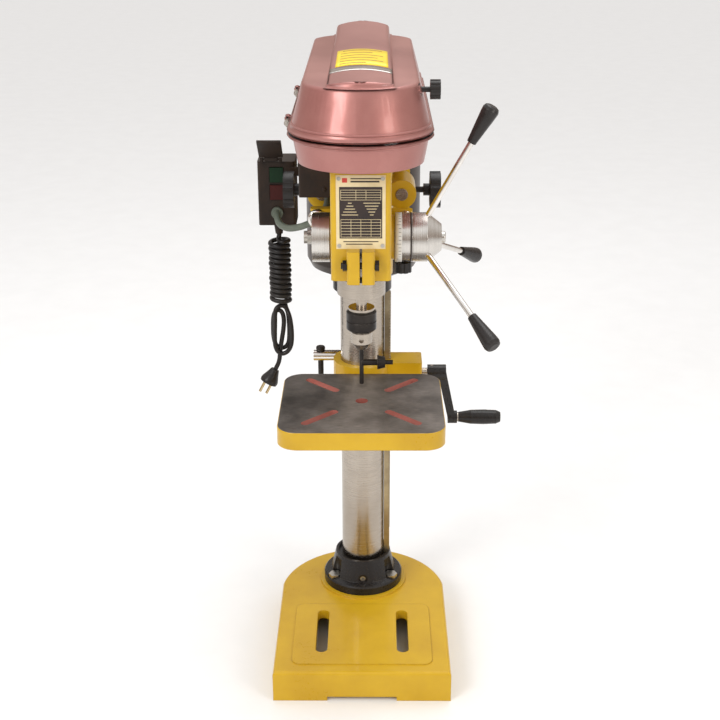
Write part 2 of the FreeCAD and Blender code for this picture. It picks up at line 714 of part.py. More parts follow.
def make_head():
    front = block((-d.head_half, -d.head_front, d.head_bottom), (d.head_half, 0, d.head_top))
    front = rounded(front, 6, upright_edge(lambda x, y: y < -50))
    neck = rod(d.neck_radius, d.head_top - d.neck_bottom, (0, 0, d.neck_bottom))
    ears = rounded(block((-d.ear_half, -d.head_front - d.ear_depth, d.head_bottom),
                         (d.ear_half, -d.head_front + 8, d.head_bottom + d.ear_height)),
                   5, upright_edge(lambda x, y: y < -float(d.head_front)))
    feed_boss = rod(28, d.head_half * 2 + 7, (-d.head_half - 2.5, feed_y, d.feed_level), "x")
    pieces = [front, neck, ears, feed_boss]
    holes = []
    for side in (-1, 1):
        x = side * d.bar_offset
        pieces.append(rod(d.bar_boss, 57, (x, -22, d.bar_level), "y"))
        low_x, high_x = sorted((x, side * Size.of(25)), key=float)
        pieces.append(block((low_x, -22, d.bar_level - 15), (high_x, 35, d.bar_level + 15)))
        holes.append(rod(d.bar_radius + d.running, 90, (x, -40, d.bar_level), "y"))
        holes.append(rod(4 + d.running, 30, (x, stud_y, d.bar_level), "x" if side > 0 else "-x"))
        lock_y, lock_level = lock_spots[side]
        low_x, high_x = sorted((side * Size.of(lock_x + 9), side * Size.of(30)), key=float)
        pieces.append(rounded(block((low_x, lock_y, lock_level - 12), (high_x, lock_y + 14, lock_level + 12)),
                              4, upright_edge(lambda px, py: abs(px) > 50)))
        holes.append(rod(5 + d.running, 30, (side * lock_x, lock_y - 5, lock_level), "y"))
    solid = joined(*pieces)
    column_bore = rod(d.column_radius + d.running, 200, (0, 0, d.neck_bottom - 1))
    quill_hole = rod(quill_bore, 672 - d.head_bottom + 1, (0, -d.reach, d.head_bottom - 1))
    throat = rod(sleeve_outer + 2, 60, (0, -d.reach, 660))
    seat = rod(bearing_outer, 60, (0, -d.reach, d.head_top - 27))
    cavity = block((-d.head_half + 8, -97, d.head_bottom + 12), (d.head_half - 8, -43, d.head_top + 1))
    feed_bore = rod(journal + d.running, 100, (-50, feed_y, d.feed_level), "x")
    split = block((-d.split / 2, -d.head_front - d.ear_depth - 1, d.head_bottom - 1),
                  (d.split / 2, -d.reach - d.quill_radius + 3, d.head_bottom + d.ear_height + 2))
    clamp_hole = rod(4 + d.running, 60, (-30, ear_y, ear_level), "x")
    holes += [rod(2.5 + d.running, 12, (x, y, d.head_top - 11)) for x, y in pan_screw_spots]
    node("head_casting", cut(solid, column_bore, quill_hole, throat, seat, cavity, feed_bore,
                             split, clamp_hole, *holes))

    locks = []
    for side, (lock_y, lock_level) in lock_spots.items():
        shank = rod(5, 15, (side * lock_x, lock_y - 1, lock_level), "y")
        cap = rounded(rod(12.5, 7, (side * lock_x, lock_y, lock_level), "-y"), 4,
                      lambda edge: all(abs(p.Point.y - (lock_y - 7)) < 1e-4 for p in edge.Vertexes))
        locks.append(joined(shank, cap))
    node("head_fasteners", *locks)

    bolt = joined(rod(4, d.ear_half * 2 + 7, (-d.ear_half - 7, ear_y, ear_level), "x"),
                  hexagon(12, 5, (d.ear_half, ear_y, ear_level), "x"))
    node("head_fasteners", bolt)
    nut = cut(hexagon(12, 5, (-d.ear_half, ear_y, ear_level), "-x"),
              rod(4 + d.running, 7, (-d.ear_half + 1, ear_y, ear_level), "-x"))
    node("head_fasteners", nut)

    plate = block((-29.5, -d.head_front - 0.8, 604), (29.5, -d.head_front, 694))
    spots = [(x, z) for x in (-26, 26) for z in (608, 690)]
    plate_holes = [rod(1.5, 3, (x, -d.head_front + 1, z), "-y") for x, z in spots]
    node("nameplate", cut(plate, *plate_holes))
    rivets = [rod(2.4, 0.8, (x, -d.head_front - 0.8, z), "-y") for x, z in spots]
    node("head_fasteners", *rivets)


# ---------------------------------------------------------------- quill, spindle and feed
def make_quill():
    tall = d.quill_top - d.quill_bottom
    sleeve = turned([(21, 0), (d.quill_collar, 0), (d.quill_collar, d.collar_height),
                     (d.quill_radius, d.collar_height), (d.quill_radius, tall), (21, tall),
                     (21, tall - 14), (13, tall - 14), (13, 18), (21, 18)],
                    at=(0, -d.reach, d.quill_bottom))
    m, line = float(d.feed_module), float(d.feed_pitch)
    middle = float(d.feed_level)
    tip, root = line + ADDENDUM * m, line - DEDENDUM * m
    flanks = rack_outline(m, middle - 14, middle + 54, middle, line, root)
    edge = flanks[0][1] - 0.6, flanks[-1][1] + 0.6
    corners = [(40, edge[0]), (root, edge[0])] + flanks + [(root, edge[1]), (40, edge[1])]
    comb = prism([V(-14, -float(d.reach) + y, z) for y, z in corners], V(28, 0, 0))
    node("quill", cut(sleeve, formed(comb)))
    ring_level = d.quill_bottom + d.collar_height
    node("quill_bumper", tube(d.quill_collar + 0.5, d.quill_radius + 0.1,
                              d.head_bottom - ring_level - 0.3, (0, -d.reach, ring_level)))
    races = [tube(20.95, d.spindle_radius + d.running, 13, (0, -d.reach, level))
             for level in (d.quill_bottom + 4.8, d.quill_top - 13.6)]
    node("quill", *races)


def make_spindle():
    foot = d.chuck_top - 17
    tall = d.pulley_bottom + d.pulley_step * 5 - foot
    shoulder = d.quill_bottom + 0.6 - foot
    neck = 17
    node("spindle", turned([(0, 0), (6, 0), (6, neck), (d.nose_radius, neck),
                            (d.nose_radius, shoulder), (18, shoulder), (18, shoulder + 4.1),
                            (d.spindle_radius, shoulder + 4.1),
                            (d.spindle_radius, d.quill_top - foot + 1),
                            (d.spline_radius, d.quill_top - foot + 1), (d.spline_radius, tall),
                            (0, tall)], at=(0, -d.reach, foot)))


def make_feed():
    m = float(d.feed_module)
    teeth = gear_outline(m, int(float(d.feed_teeth)), pi)
    y0, z0 = float(feed_y), float(d.feed_level)
    wheel = prism([V(-10, y0 + y, z0 + z) for y, z in teeth], V(20, 0, 0))
    wide, half_head = float(journal), float(d.head_half)
    def bar(radius, x0, x1):
        return Part.makeCylinder(radius, x1 - x0, V(x0, y0, z0), V(1, 0, 0))
    shaft = bar(wide, -half_head - 2, -15).fuse([bar(8, -72, 99), bar(wide, 15, half_head + 4)])
    node("feed_shaft", formed(shaft.fuse(wheel)))

    inner = 8 + d.running
    hub = turned([(inner, 0), (20, 0), (20, 22), (d.hub_radius, 22), (d.hub_radius, 40),
                  (d.hub_radius - 14, 58), (inner, 58)],
                 at=(d.head_half + 5.5, feed_y, d.feed_level), along="x")
    sockets, rods, grips = [], [], []
    lean = radians(float(d.lever_cone))
    root_x = d.head_half + 47.5
    for i in range(3):
        turn = radians(5 + 120 * i)
        aim = V(cos(lean), -sin(lean) * sin(turn), sin(lean) * cos(turn))
        rotation = FreeCAD.Rotation(V(0, 0, 1), aim)
        def spot(run):
            radial = d.hub_radius + run * sin(lean)
            return (root_x + run * cos(lean), feed_y - radial * sin(turn),
                    d.feed_level + radial * cos(turn))
        reach = (d.lever_tip - d.hub_radius) / sin(lean)
        sockets.append(rod(d.lever_radius + d.running, 40, spot(-14), rotation))
        rods.append(rod(d.lever_radius, reach + 6.6, spot(-13.9), rotation))
        hole = d.lever_radius + d.running
        length = d.lever_grip
        grips.append(turned([(hole, 0), (5.8, 0), (10.3, length * 0.8), (10.5, length * 0.9),
                             (9, length * 0.97), (6, length), (0, length), (0, length - 7),
                             (hole, length - 7)], at=spot(reach - length), along=rotation))
    node("feed_hub", cut(hub, *sockets))
    for i, (lever, grip) in enumerate(zip(rods, grips), start=1):
        node("feed_levers", lever)
        node("feed_lever_grips", grip)
    cap_x = d.head_half + 63.5
    node("feed_hub", rounded(rod(7.5, 5.5, (cap_x, feed_y, d.feed_level), "x"), 2,
                            lambda edge: all(p.Point.x > float(cap_x) + 5 for p in edge.Vertexes)))

    ring_x = d.head_half + 5.5
    ring = tube(d.hub_radius, 20 + d.running * 2, 21.5, (ring_x, feed_y, d.feed_level), "x")
    knob_x = ring_x + 10.5
    hole = rod(2.5 + d.running, 40, (knob_x, feed_y, d.feed_level), "-z")
    node("depth_ring", cut(ring, hole))
    knob_top = d.feed_level - d.hub_radius - 1
    stem = rod(2.5, 12, (knob_x, feed_y, knob_top - 1), "z")
    head = rod(11, 13, (knob_x, feed_y, knob_top), "-z")
    flutes = [rod(2.6, 20, (knob_x + 12.4 * cos(a), feed_y + 12.4 * sin(a), knob_top + 2), "-z")
              for a in (2 * pi * k / 8 for k in range(8))]
    node("depth_lock_knob", joined(cut(head, *flutes), stem))


def make_return_spring():
    x = -d.head_half - 2.8
    cup = turned([(8.4, 22), (8.4, 20.5), (29.4, 20.5), (29.4, 0), (d.hub_radius, 0),
                  (d.hub_radius, 22)], at=(x, feed_y, d.feed_level), along="-x")
    node("spring_cup", cup)
    node("head_fasteners", cut(hexagon(16, 6, (x - 22.3, feed_y, d.feed_level), "-x"),
                           rod(8 + d.running, 8, (x - 21, feed_y, d.feed_level), "-x")))
    turns, gap, thick = 6, 3.4, 0.9
    inner, outer = [], []
    for k in range(turns * 24 + 1):
        angle = 2 * pi * k / 24
        r = 8.05 + gap * angle / (2 * pi)
        inner.append((r, angle))
        outer.append((r + thick, angle))
    x0 = float(x) - 3
    corners = [V(x0, float(feed_y) + r * cos(a), float(d.feed_level) + r * sin(a))
               for r, a in inner + outer[::-1]]
    node("return_spring", formed(prism(corners, V(-14, 0, 0))))


# ---------------------------------------------------------------- chuck and its key
def make_chuck():
    y = -d.reach
    tall = d.chuck_top - d.chuck_bottom
    body = turned([(3.4, 0), (8, 0), (d.nose_outer, 8), (d.nose_outer, 22), (14.5, 24),
                   (14.5, tall - 3), (16.5, tall - 3), (16.5, tall), (6.05, tall),
                   (6.05, tall - 17.5), (3.4, tall - 17.5)], at=(0, y, d.chuck_bottom))
    lean = radians(float(d.jaw_lean))
    start = d.key_bar + d.jaw_radius + 0.05
    jaws, wells, key_holes = [], [], []
    for i in range(3):
        turn = radians(90 + 120 * i)
        aim = V(sin(lean) * cos(turn), sin(lean) * sin(turn), cos(lean))
        rotation = FreeCAD.Rotation(V(0, 0, 1), aim)
        def spot(up):
            out = start + up * tan(lean)
            return (out * cos(turn), y + out * sin(turn), d.chuck_bottom + up)
        wells.append(rod(d.jaw_radius + d.running * 2, 34, spot(-3), rotation))
        jaws.append(rod(d.jaw_radius, 25, spot(1), rotation))
        side = FreeCAD.Rotation(V(0, 0, 1), V(cos(turn + pi), sin(turn + pi), 0))
        key_holes.append(rod(3, 12, (-8.5 * cos(turn), y - 8.5 * sin(turn), d.chuck_bottom + 14), side))
    node("chuck_body", cut(body, *wells, *key_holes))
    for i, jaw in enumerate(jaws, start=1):
        node(f"chuck_jaw_{i}", jaw)
    r = d.sleeve_radius
    node("chuck_sleeve", turned([(14.8, 0), (r - 2, 0), (r, 2), (r, 12), (r - 0.8, 13),
                                 (r, 14), (r, 24), (r - 2, 26), (14.8, 26)],
                                at=(0, y, d.chuck_bottom + 25)))


def make_chuck_key():
    y, z = -d.reach, d.key_level
    bar = rod(d.key_bar, 58, (0, y, z - 29))
    shank = rod(4, 20, (0, y, z), "x")
    head = taper(9.3, 7, 10, (20, y, z), "x")
    grooves = [rod(1.3, 30, (15, y + 9.4 * cos(a), z + 9.4 * sin(a)), "x")
               for a in (2 * pi * k / 10 for k in range(10))]
    pilot = rod(3, 16, (24, y, z), "x")
    node("chuck_key", joined(bar, shank, cut(head, *grooves), pilot))


# ---------------------------------------------------------------- belt drive
belt_groove, belt_step = 6.5, 2


def pulley(large_at_top):
    """Five grooved steps, as (radius, height) corners from the foot up."""
    corners = []
    for i in range(5):
        rank = 4 - i if large_at_top else i
        r = d.pulley_large - d.pulley_drop * rank
        z = d.pulley_step * i
        corners += [(r, z), (r, z + 1.5), (r - belt_groove, z + 4.5),
                    (r - belt_groove, z + 8.5), (r, z + 11.5), (r, z + d.pulley_step)]
    return corners


def make_drive():
    y, foot = -d.reach, d.head_top - 27
    rise = d.pulley_bottom - foot
    steps = [(r, z + rise) for r, z in pulley(False)]
    inner = d.spline_radius + d.running
    node("spindle_pulley", turned([(inner, 0), (sleeve_outer, 0), (sleeve_outer, rise)] + steps
                                  + [(inner, rise + d.pulley_step * 5)], at=(0, y, foot)))
    races = [tube(bearing_outer - 0.05, sleeve_outer + 0.05, 12, (0, y, foot + low))
             for low in (0.5, 13.5)]
    node("pulley_bearings", *races)
    bore = d.motor_shaft + d.running
    node("motor_pulley", turned([(bore, 0)] + pulley(True) + [(bore, d.pulley_step * 5)],
                                at=(0, d.motor_offset, d.pulley_bottom)))

    r = float(d.pulley_large - d.pulley_drop * belt_step)
    z = float(d.pulley_bottom + d.pulley_step * belt_step) + 6.5
    slope = 3 / belt_groove
    wide, slim = 5 - 0.2 * slope - 0.2, 2 + 0.5 * slope - 0.2
    front, back = -float(d.reach), float(d.motor_offset)
    def section(at_y, side):
        pts = [V(side * (r - 0.2), at_y, z - wide), V(side * (r - 0.2), at_y, z + wide),
               V(side * (r - 6), at_y, z + slim), V(side * (r - 6), at_y, z - slim)]
        return Part.Face(Part.makePolygon(pts + pts[:1]))
    runs = [section(front, side).extrude(V(0, back - front, 0)) for side in (-1, 1)]
    ends = [section(front, -1).revolve(V(0, front, 0), V(0, 0, 1), 180),
            section(back, 1).revolve(V(0, back, 0), V(0, 0, 1), 180)]
    node("v_belt", formed(runs[0].fuse([runs[1]] + ends).removeSplitter()))


# ---------------------------------------------------------------- motor on its slide
plate_y = d.motor_offset - d.motor_radius - 16
motor_bolt_spots = [(x, z) for x in (-30, 30) for z in (602, 668)]


def make_motor():
    y, tall = d.motor_offset, d.motor_top - d.motor_bottom
    shell = turned([(d.motor_radius - 6, 0), (d.motor_radius, 0), (d.motor_radius, tall - 6),
                    (d.motor_radius - 6, tall), (20, tall), (20, tall - 12),
                    (d.motor_radius - 6, tall - 12)], at=(0, y, d.motor_bottom))
    foot = block((-41, plate_y + 6, 590), (41, y - d.motor_radius + 8, 680))
    threads = [rod(4 + d.running, 14, (x, plate_y + 5, z), "y") for x, z in motor_bolt_spots]
    foot = cut(foot, rod(d.motor_radius - 3, 100, (0, y, 585)), *threads)
    node("motor_housing", joined(shell, foot))
    shield_level = d.motor_bottom + 20
    node("stator", tube(d.motor_radius - 6.05, 20, 9, (0, y, shield_level)))
    races = [tube(19.95, d.motor_shaft + d.running, 11, (0, y, level))
             for level in (shield_level - 1, d.motor_top - 11.5)]
    node("stator", *races)
    node("stator", tube(d.motor_radius - 6.05, 46, 95, (0, y, d.motor_bottom + 60)))
    shaft_top = d.pulley_bottom + d.pulley_step * 5
    rotor = joined(rod(45.5, 85, (0, y, d.motor_bottom + 65)),
                   rod(d.motor_shaft, shaft_top - d.motor_bottom - 4, (0, y, d.motor_bottom + 4)))
    node("rotor", rotor)
    blades = [block((20, y - 1, d.motor_bottom + 5), (62, y + 1, d.motor_bottom + 16))]
    hub = tube(22, d.motor_shaft + d.running, 11, (0, y, d.motor_bottom + 5))
    for k in range(1, 6):
        blade = block((20, -1, 0), (62, 1, 11))
        place(blade, (-sin(k * pi / 3) * -1 + 20 * cos(k * pi / 3),
                      y + 20 * sin(k * pi / 3) - cos(k * pi / 3), d.motor_bottom + 5),
              FreeCAD.Rotation(V(0, 0, 1), 60 * k))
        blades.append(blade)
    node("rotor", joined(hub, *blades))
    r = d.motor_radius
    cover = turned([(0, 0), (r - 22, 0), (r - 6, 8), (r, 20), (r - 1.5, 20), (r - 7.2, 9),
                    (r - 22.6, 1.5), (0, 1.5)], at=(0, y, d.motor_bottom - 20))
    vents = [rod(3, 6, (radius * cos(a), y + radius * sin(a), d.motor_bottom - 22))
             for radius, count in ((22, 6), (36, 10), (50, 14))
             for a in (2 * pi * k / count for k in range(count))]
    node("fan_cover", cut(cover, *vents))

    plate = block((-66, plate_y, 566), (66, plate_y + 6, 694))
    holes = [rod(5 + d.running, 10, (side * d.bar_offset, plate_y - 1, d.bar_level), "y")
             for side in (-1, 1)]
    holes += [rod(4 + d.running, 8, (x, plate_y - 1, z), "y") for x, z in motor_bolt_spots]
    node("motor_plate", cut(plate, *holes))
    bars = []
    for side in (-1, 1):
        x = side * d.bar_offset
        bars.append(joined(rod(d.bar_radius, plate_y + 23, (x, -23, d.bar_level), "y"),
                           rod(5, 14, (x, plate_y - 1, d.bar_level), "y"),
                           hexagon(16, 6, (x, plate_y + 6, d.bar_level), "y")))
    node("motor_slide_bars", *bars)
    bolts = [joined(hexagon(13, 5, (x, plate_y, z), "-y"), rod(4, 17, (x, plate_y - 1, z), "y"))
             for x, z in motor_bolt_spots]
    node("motor_slide_bars", *bolts)


def make_slide_locks():
    for side, name, along in ((1, "right", "x"), (-1, "left", "-x")):
        start = side * (d.bar_offset + d.bar_radius + 0.5)
        stud = rod(4, 26, (start, stud_y, d.bar_level), along)
        neck = rod(8, 11, (start + side * 20.5, stud_y, d.bar_level), along)
        head = rod(24, 14, (start + side * 29, stud_y, d.bar_level), along)
        x = start + side * 27
        hollows = [rod(6.5, 20, (x, stud_y + 27 * cos(a), d.bar_level + 27 * sin(a)), along)
                   for a in (2 * pi * (k + 0.5) / 6 for k in range(6))]
        node(f"slide_lock_knob_{name}", joined(stud, neck, cut(head, *hollows)))


# ---------------------------------------------------------------- belt cover
def cover_outline(half_width, level, inset=0.0):
    """Plan of the cover: round front, straight sides, flatter round back."""
    w = float(half_width) - inset
    front, side, back = -float(d.reach), float(d.cover_side), float(d.cover_back)
    tail = side + (back - side) * w / float(d.rim_half)
    a, b = V(-w, front, level), V(w, front, level)
    c, e = V(w, side, level), V(-w, side, level)
    return Part.Wire([Part.Arc(a, V(0, front - w, level), b).toShape(), Part.makeLine(b, c),
                      Part.Arc(c, V(0, tail, level), e).toShape(), Part.makeLine(e, a)])


def cover_loft(low_half, low, high_half, high, inset=0.0):
    return Part.makeLoft([cover_outline(low_half, low, inset),
                          cover_outline(high_half, high, inset)], True)


hinge_x, hinge_level = -d.rim_half - 4.5, d.cover_level + 2
hinge_spots = (-70, 140)


def make_cover():
    t, joint = float(d.sheet), float(d.cover_level)
    floor, rim, pan = float(d.head_top), float(d.rim_half), float(d.pan_half)
    shell = cover_loft(pan - 6, floor, pan, joint).cut(
        cover_loft(pan - 6, floor + t, pan, joint + 0.01, t))
    lip = Part.Face(cover_outline(rim, joint - t)).extrude(V(0, 0, t)).cut(
        Part.Face(cover_outline(pan, joint - t - 1, t)).extrude(V(0, 0, t + 2)))
    spindle_hole = Part.makeCylinder(22, 9, V(0, -float(d.reach), floor - 3))
    slide = Part.makeBox(34, 50, 9, V(-17, float(d.motor_offset) - 29, floor - 3))
    screw_holes = [Part.makeCylinder(2.55, 9, V(x, y, floor - 3)) for x, y in pan_screw_spots]
    pan_shape = shell.fuse(lip).cut([spindle_hole, slide] + screw_holes)
    node("belt_cover_pan", formed(pan_shape.removeSplitter()))
    screws = [joined(rod(5, 2.5, (x, y, d.head_top + d.sheet)),
                     rod(2.5, 10, (x, y, d.head_top + d.sheet - 9))) for x, y in pan_screw_spots]
    node("head_fasteners", *screws)

    gap = float(d.free)
    low, bead, top = joint + gap, joint + 6, float(d.lid_top)
    half_top = float(d.lid_half)
    rim_band = cover_loft(rim, low, rim - 1, bead)
    wall = cover_loft(rim - 3, bead, half_top, top)
    outer = rim_band.fuse(wall)
    hollow = cover_loft(rim, low - 0.01, rim - 1, bead, t + 1.2).fuse(
        cover_loft(rim - 3, bead - 0.01, half_top, top - t, t))
    def crown(y, half_width, high, foot):
        edge = high - 5
        return Part.Wire([Part.makeLine(V(-half_width, y, foot), V(half_width, y, foot)),
                          Part.makeLine(V(half_width, y, foot), V(half_width, y, edge)),
                          Part.Arc(V(half_width, y, edge), V(0, y, high),
                                   V(-half_width, y, edge)).toShape(),
                          Part.makeLine(V(-half_width, y, edge), V(-half_width, y, foot))])
    def band(inset, foot):
        ends = ((-float(d.reach) - half_top, d.crown_front), (float(d.cover_back), d.crown_back))
        width = float(d.crown_half) - inset
        whole = Part.makeLoft([crown(y, width, float(high) - inset, foot) for y, high in ends], True)
        return whole.common(Part.Face(cover_outline(half_top - 1 - inset, foot)).extrude(V(0, 0, 60)))
    lid = outer.fuse(band(0, top - t)).cut(hollow).cut(band(t, top - 2 * t))
    knob_y = -float(d.reach) - 15
    lid = lid.cut(Part.makeCylinder(3.3, 40, V(60, knob_y, top - 9), V(1, 0, 0)))
    x, z = float(hinge_x), float(hinge_level)
    for y in hinge_spots:
        knuckle = Part.makeCylinder(3.5, 16, V(x, y, z), V(0, 1, 0))
        leaf = Part.makeBox(8, 16, 2, V(x, y, z + 1))
        pin_hole = Part.makeCylinder(1.55, 16, V(x, y, z), V(0, 1, 0))
        lid = lid.fuse(knuckle.fuse(leaf).cut(pin_hole))
    node("belt_cover_lid", formed(lid.removeSplitter()))

    hinges = []
    for y in hinge_spots:
        knuckle = Part.makeCylinder(3.5, 16, V(x, y - 16.3, z), V(0, 1, 0))
        pin = Part.makeCylinder(1.5, 33, V(x, y - 16.5, z), V(0, 1, 0))
        leaf = Part.makeBox(7, 16, 1.4, V(x - 1, y - 16.3, joint - t - 1.4))
        web = Part.makeBox(2, 16, 4, V(x - 1, y - 16.3, joint - t - 1.4))
        hinges.append(formed(knuckle.fuse([pin, leaf, web])))
    node("lid_hinges", *hinges)

    start = half_top - 3
    stud = rod(3.2, 18, (start, knob_y, top - 9), "x")
    head = rod(11.5, 12, (start + 15, knob_y, top - 9), "x")
    flutes = [rod(2.4, 20, (start + 13, knob_y + 12.6 * cos(a), top - 9 + 12.6 * sin(a)), "x")
              for a in (2 * pi * k / 10 for k in range(10))]
    node("lid_knob", joined(stud, cut(head, *flutes)))


# ---------------------------------------------------------------- switch, junction box and leads
switch_x = -d.switch_left + d.switch_width / 2
button_levels = {"start": 644, "stop": 620}
flap_raised, flap_thick = 40, 3
relief_y = d.switch_front + 24
relief_length = 18
lead_radius = 4.5


def make_switch():
    low = (-d.switch_left, d.switch_front, d.switch_bottom)
    high = (-d.switch_left + d.switch_width, d.switch_front + d.switch_depth,
            d.switch_bottom + d.switch_height)
    case = rounded(block(low, high), 4, upright_edge(lambda x, y: True))
    wall = 3
    room = block([Size.of(c) + wall for c in low], [Size.of(c) - wall for c in high])
    openings = [block((switch_x - 9 - d.free, d.switch_front - 1, z - 10 - d.free),
                      (switch_x + 9 + d.free, d.switch_front + 10, z + 10 + d.free))
                for z in button_levels.values()]
    cord_hole = rod(5, 10, (switch_x, relief_y, d.switch_bottom - 2))
    lead_hole = rod(lead_radius + 1.5 + d.running, 20, (switch_x, d.switch_front - 1, 592), "y")
    node("switch_box", cut(case, room, cord_hole, lead_hole, *openings))
    block_low = (switch_x - 16, d.switch_front + 18, 598)
    node("switch_box", block(block_low, (switch_x + 16, d.switch_front + d.switch_depth - wall, 654)))
    for name, z in button_levels.items():
        cap = block((switch_x - 9, d.switch_front - 2, z - 10), (switch_x + 9, d.switch_front + 4, z + 10))
        stem = block((switch_x - 3, d.switch_front + 4, z - 3),
                     (switch_x + 3, d.switch_front + 18 - 2.8, z + 3))
        node(f"{name}_button", joined(cap, stem))

    hinge_y, hinge_z = d.switch_front - 3, d.switch_bottom + d.switch_height + 4
    left = switch_x - 22
    raised = radians(flap_raised)
    turn = FreeCAD.Rotation(V(1, 0, 0), 180 - flap_raised)
    def slab(width, offset, start, length):
        piece = doc.addObject("Part::Box", "Slab")
        for name, size in (("Length", width), ("Width", length), ("Height", flap_thick)):
            bind(piece, name, size)
        out, back = start, flap_thick
        return place(piece, (left + offset, hinge_y - out * cos(raised) + back * sin(raised),
                             hinge_z + out * sin(raised) + back * cos(raised)), turn)
    plate = slab(32, 0, 5.4, 42)
    web = slab(18, 7, 0, 6)
    barrel = rod(3, 18, (left + 7, hinge_y, hinge_z), "x")
    bore = rod(1.5 + d.running, 40, (left, hinge_y, hinge_z), "x")
    node("switch_flap", cut(joined(plate, web, barrel), bore))
    pin = rod(1.5, 29, (left + 1, hinge_y, hinge_z), "x")
    ears = []
    for x in (left + 1, left + 26):
        ears.append(block((x, hinge_y - 2.5, hinge_z - 4), (x + 4, hinge_y + 6, hinge_z + 2.5)))
    node("switch_box", joined(pin, *ears))

    plate_z = d.bar_level + 11
    node("switch_box", block((-d.switch_left + d.switch_width - 8, 35, plate_z),
                                 (-38, d.switch_front, plate_z + 12)))
    node("switch_box", cut(taper(5, 7.5, relief_length, (switch_x, relief_y,
                                                         d.switch_bottom - relief_length)),
                            rod(d.cord_radius, relief_length + 2,
                                (switch_x, relief_y, d.switch_bottom - relief_length - 1))))


def make_junction_box():
    low = (-79, -76, 642)
    high = (-d.head_half, -30, 681)
    case = rounded(block(low, high), 3, upright_edge(lambda x, y: x < -40))
    room = block((-76, -73, 645), (-d.head_half - 3, -33, 682))
    hole = rod(lead_radius + d.running, 10, (lead_end[0], lead_end[1], 638))
    node("junction_box", cut(case, room, hole))
    cover = rounded(block((-80, -77, 681), (-d.head_half, -29, 684)), 3,
                    upright_edge(lambda x, y: x < -40))
    node("junction_box", cover)
    node("junction_box", rounded(rod(2.6, 2, (-47, -76, 653), "-y"), 0.8,
                                       lambda edge: all(p.Point.y < -77.5 for p in edge.Vertexes)))


# The lead from the switch hangs in a loop and climbs into the junction box.
lead_end = (-43.5, -42.5)
LEAD = [(-115.5, 46, 592), (-115.5, 24, 592), (-111, 6, 584), (-98, -8, 582), (-80, -20, 588),
        (-63, -30, 598), (-50, -38, 610), (-43.5, -42.5, 627), (-43.5, -42.5, 644)]


# The tail of the power cord ends in the plug.
plug_neck = (-126.5, 60, 353)


def rounded_route(points, radius):
    """A tube along straight runs joined by the largest arcs that the runs allow."""
    spots = [V(*p) for p in points]
    edges, here = [], spots[0]
    for before, corner, after in zip(spots, spots[1:], spots[2:]):
        way_in, way_out = (corner - before).normalize(), (after - corner).normalize()
        short = min((corner - before).Length, (after - corner).Length)
        turn = way_in.getAngle(way_out)
        reach = 0.45 * short
        bend = reach / tan(turn / 2)
        print(f"bend of {bend:.1f} mm at {tuple(corner)}")
        start, end = corner - way_in * reach, corner + way_out * reach
        inward = (way_out - way_in).normalize()
        middle = corner + inward * (bend / cos(turn / 2) - bend)
        edges += [Part.makeLine(here, start), Part.Arc(start, middle, end).toShape()]
        here = end
    edges.append(Part.makeLine(here, spots[-1]))
    path = Part.Wire(edges)
    section = Part.Wire(Part.makeCircle(radius, spots[0], spots[1] - spots[0]))
    pipe = path.makePipeShell([section], True, True)
    expected = pi * radius * radius * path.Length
    print(f"route {path.Length:.1f} mm, volume {pipe.Volume / expected:.4f} of section times length")
    return pipe


def make_cords():
    node("motor_lead", formed(rounded_route(LEAD, lead_radius)))
    gland = turned([(lead_radius + 0.02, 0), (lead_radius + 3.5, 0), (lead_radius + 3.5, 5),
                    (lead_radius + 1.5, 5), (lead_radius + 1.5, 10), (lead_radius + 0.02, 10)],
                   at=(switch_x, d.switch_front - 5, 592), along="y")
    node("motor_lead", gland)

    x, y = float(switch_x), float(relief_y)
    exit_level = float(d.switch_bottom) - relief_length
    top, waist, foot = exit_level - 6, 452, 380
    stub = Part.makeCylinder(float(d.cord_radius), exit_level - top, V(x, y, top))
    node("power_cord", formed(stub))
    wraps = rounded(rod(16.5, top - waist, (x, y, waist)), 4, lambda edge: True)
    loops = rounded(block((x - 11, y - 8, foot), (x + 11, y + 8, waist + 9)), 6,
                    lambda edge: min(p.Point.z for p in edge.Vertexes) < waist - 1)
    node("cord_hank", joined(wraps, loops))
    node("power_cord", formed(rounded_route([(x - 4, y, foot), (x - 4, y, foot - 14), plug_neck],
                                            float(d.cord_radius))))


def make_plug():
    way = V(-7, -2, -13).normalize()
    turn = FreeCAD.Rotation(V(0, 0, 1), way)
    body = turned([(0, 0), (6, 0), (9, 8), (12.5, 16), (13, 19), (12.5, 22), (0, 22)],
                  at=plug_neck, along=turn)
    node("plug", body)
    side = turn.multVec(V(1, 0, 0))
    pins = []
    for sign in (-1, 1):
        foot = V(*plug_neck) + way * 22 + side * (6 * sign)
        pins.append(rounded(rod(2, 17, tuple(foot), turn), 1, lambda edge: True))
    node("plug", *pins)


# ---------------------------------------------------------------- build, check and write
for make in (make_base, make_column, make_rack, make_bracket, make_lift_drive, make_crank,
             make_bracket_clamp, make_table, make_tilt_bolt, make_head, make_quill, make_spindle,
             make_feed, make_return_spring, make_chuck, make_chuck_key, make_drive, make_motor,
             make_slide_locks, make_cover, make_switch, make_junction_box, make_cords, make_plug):
    make()

nodes = []
for name, pieces in contents.items():
    whole = pieces[0] if len(pieces) == 1 else group(*pieces)
    whole.Label = name
    nodes.append(whole)
doc.recompute()

for item in doc.Objects:
    faults = {"Invalid", "Error"} & set(item.State)
    if faults:
        raise RuntimeError(f"{item.Name} ({item.Label}) did not build: {faults}")
for item in nodes:
    if item.Shape.isNull() or not item.Shape.isValid() or not item.Shape.Solids:
        raise RuntimeError(f"{item.Label} has no valid solid")

os.makedirs("parts", exist_ok=True)
for item in nodes:
    item.Shape.exportStep(os.path.join("parts", item.Label + ".step"))
print(len(nodes), "nodes,", sum(len(item.Shape.Solids) for item in nodes), "solids")
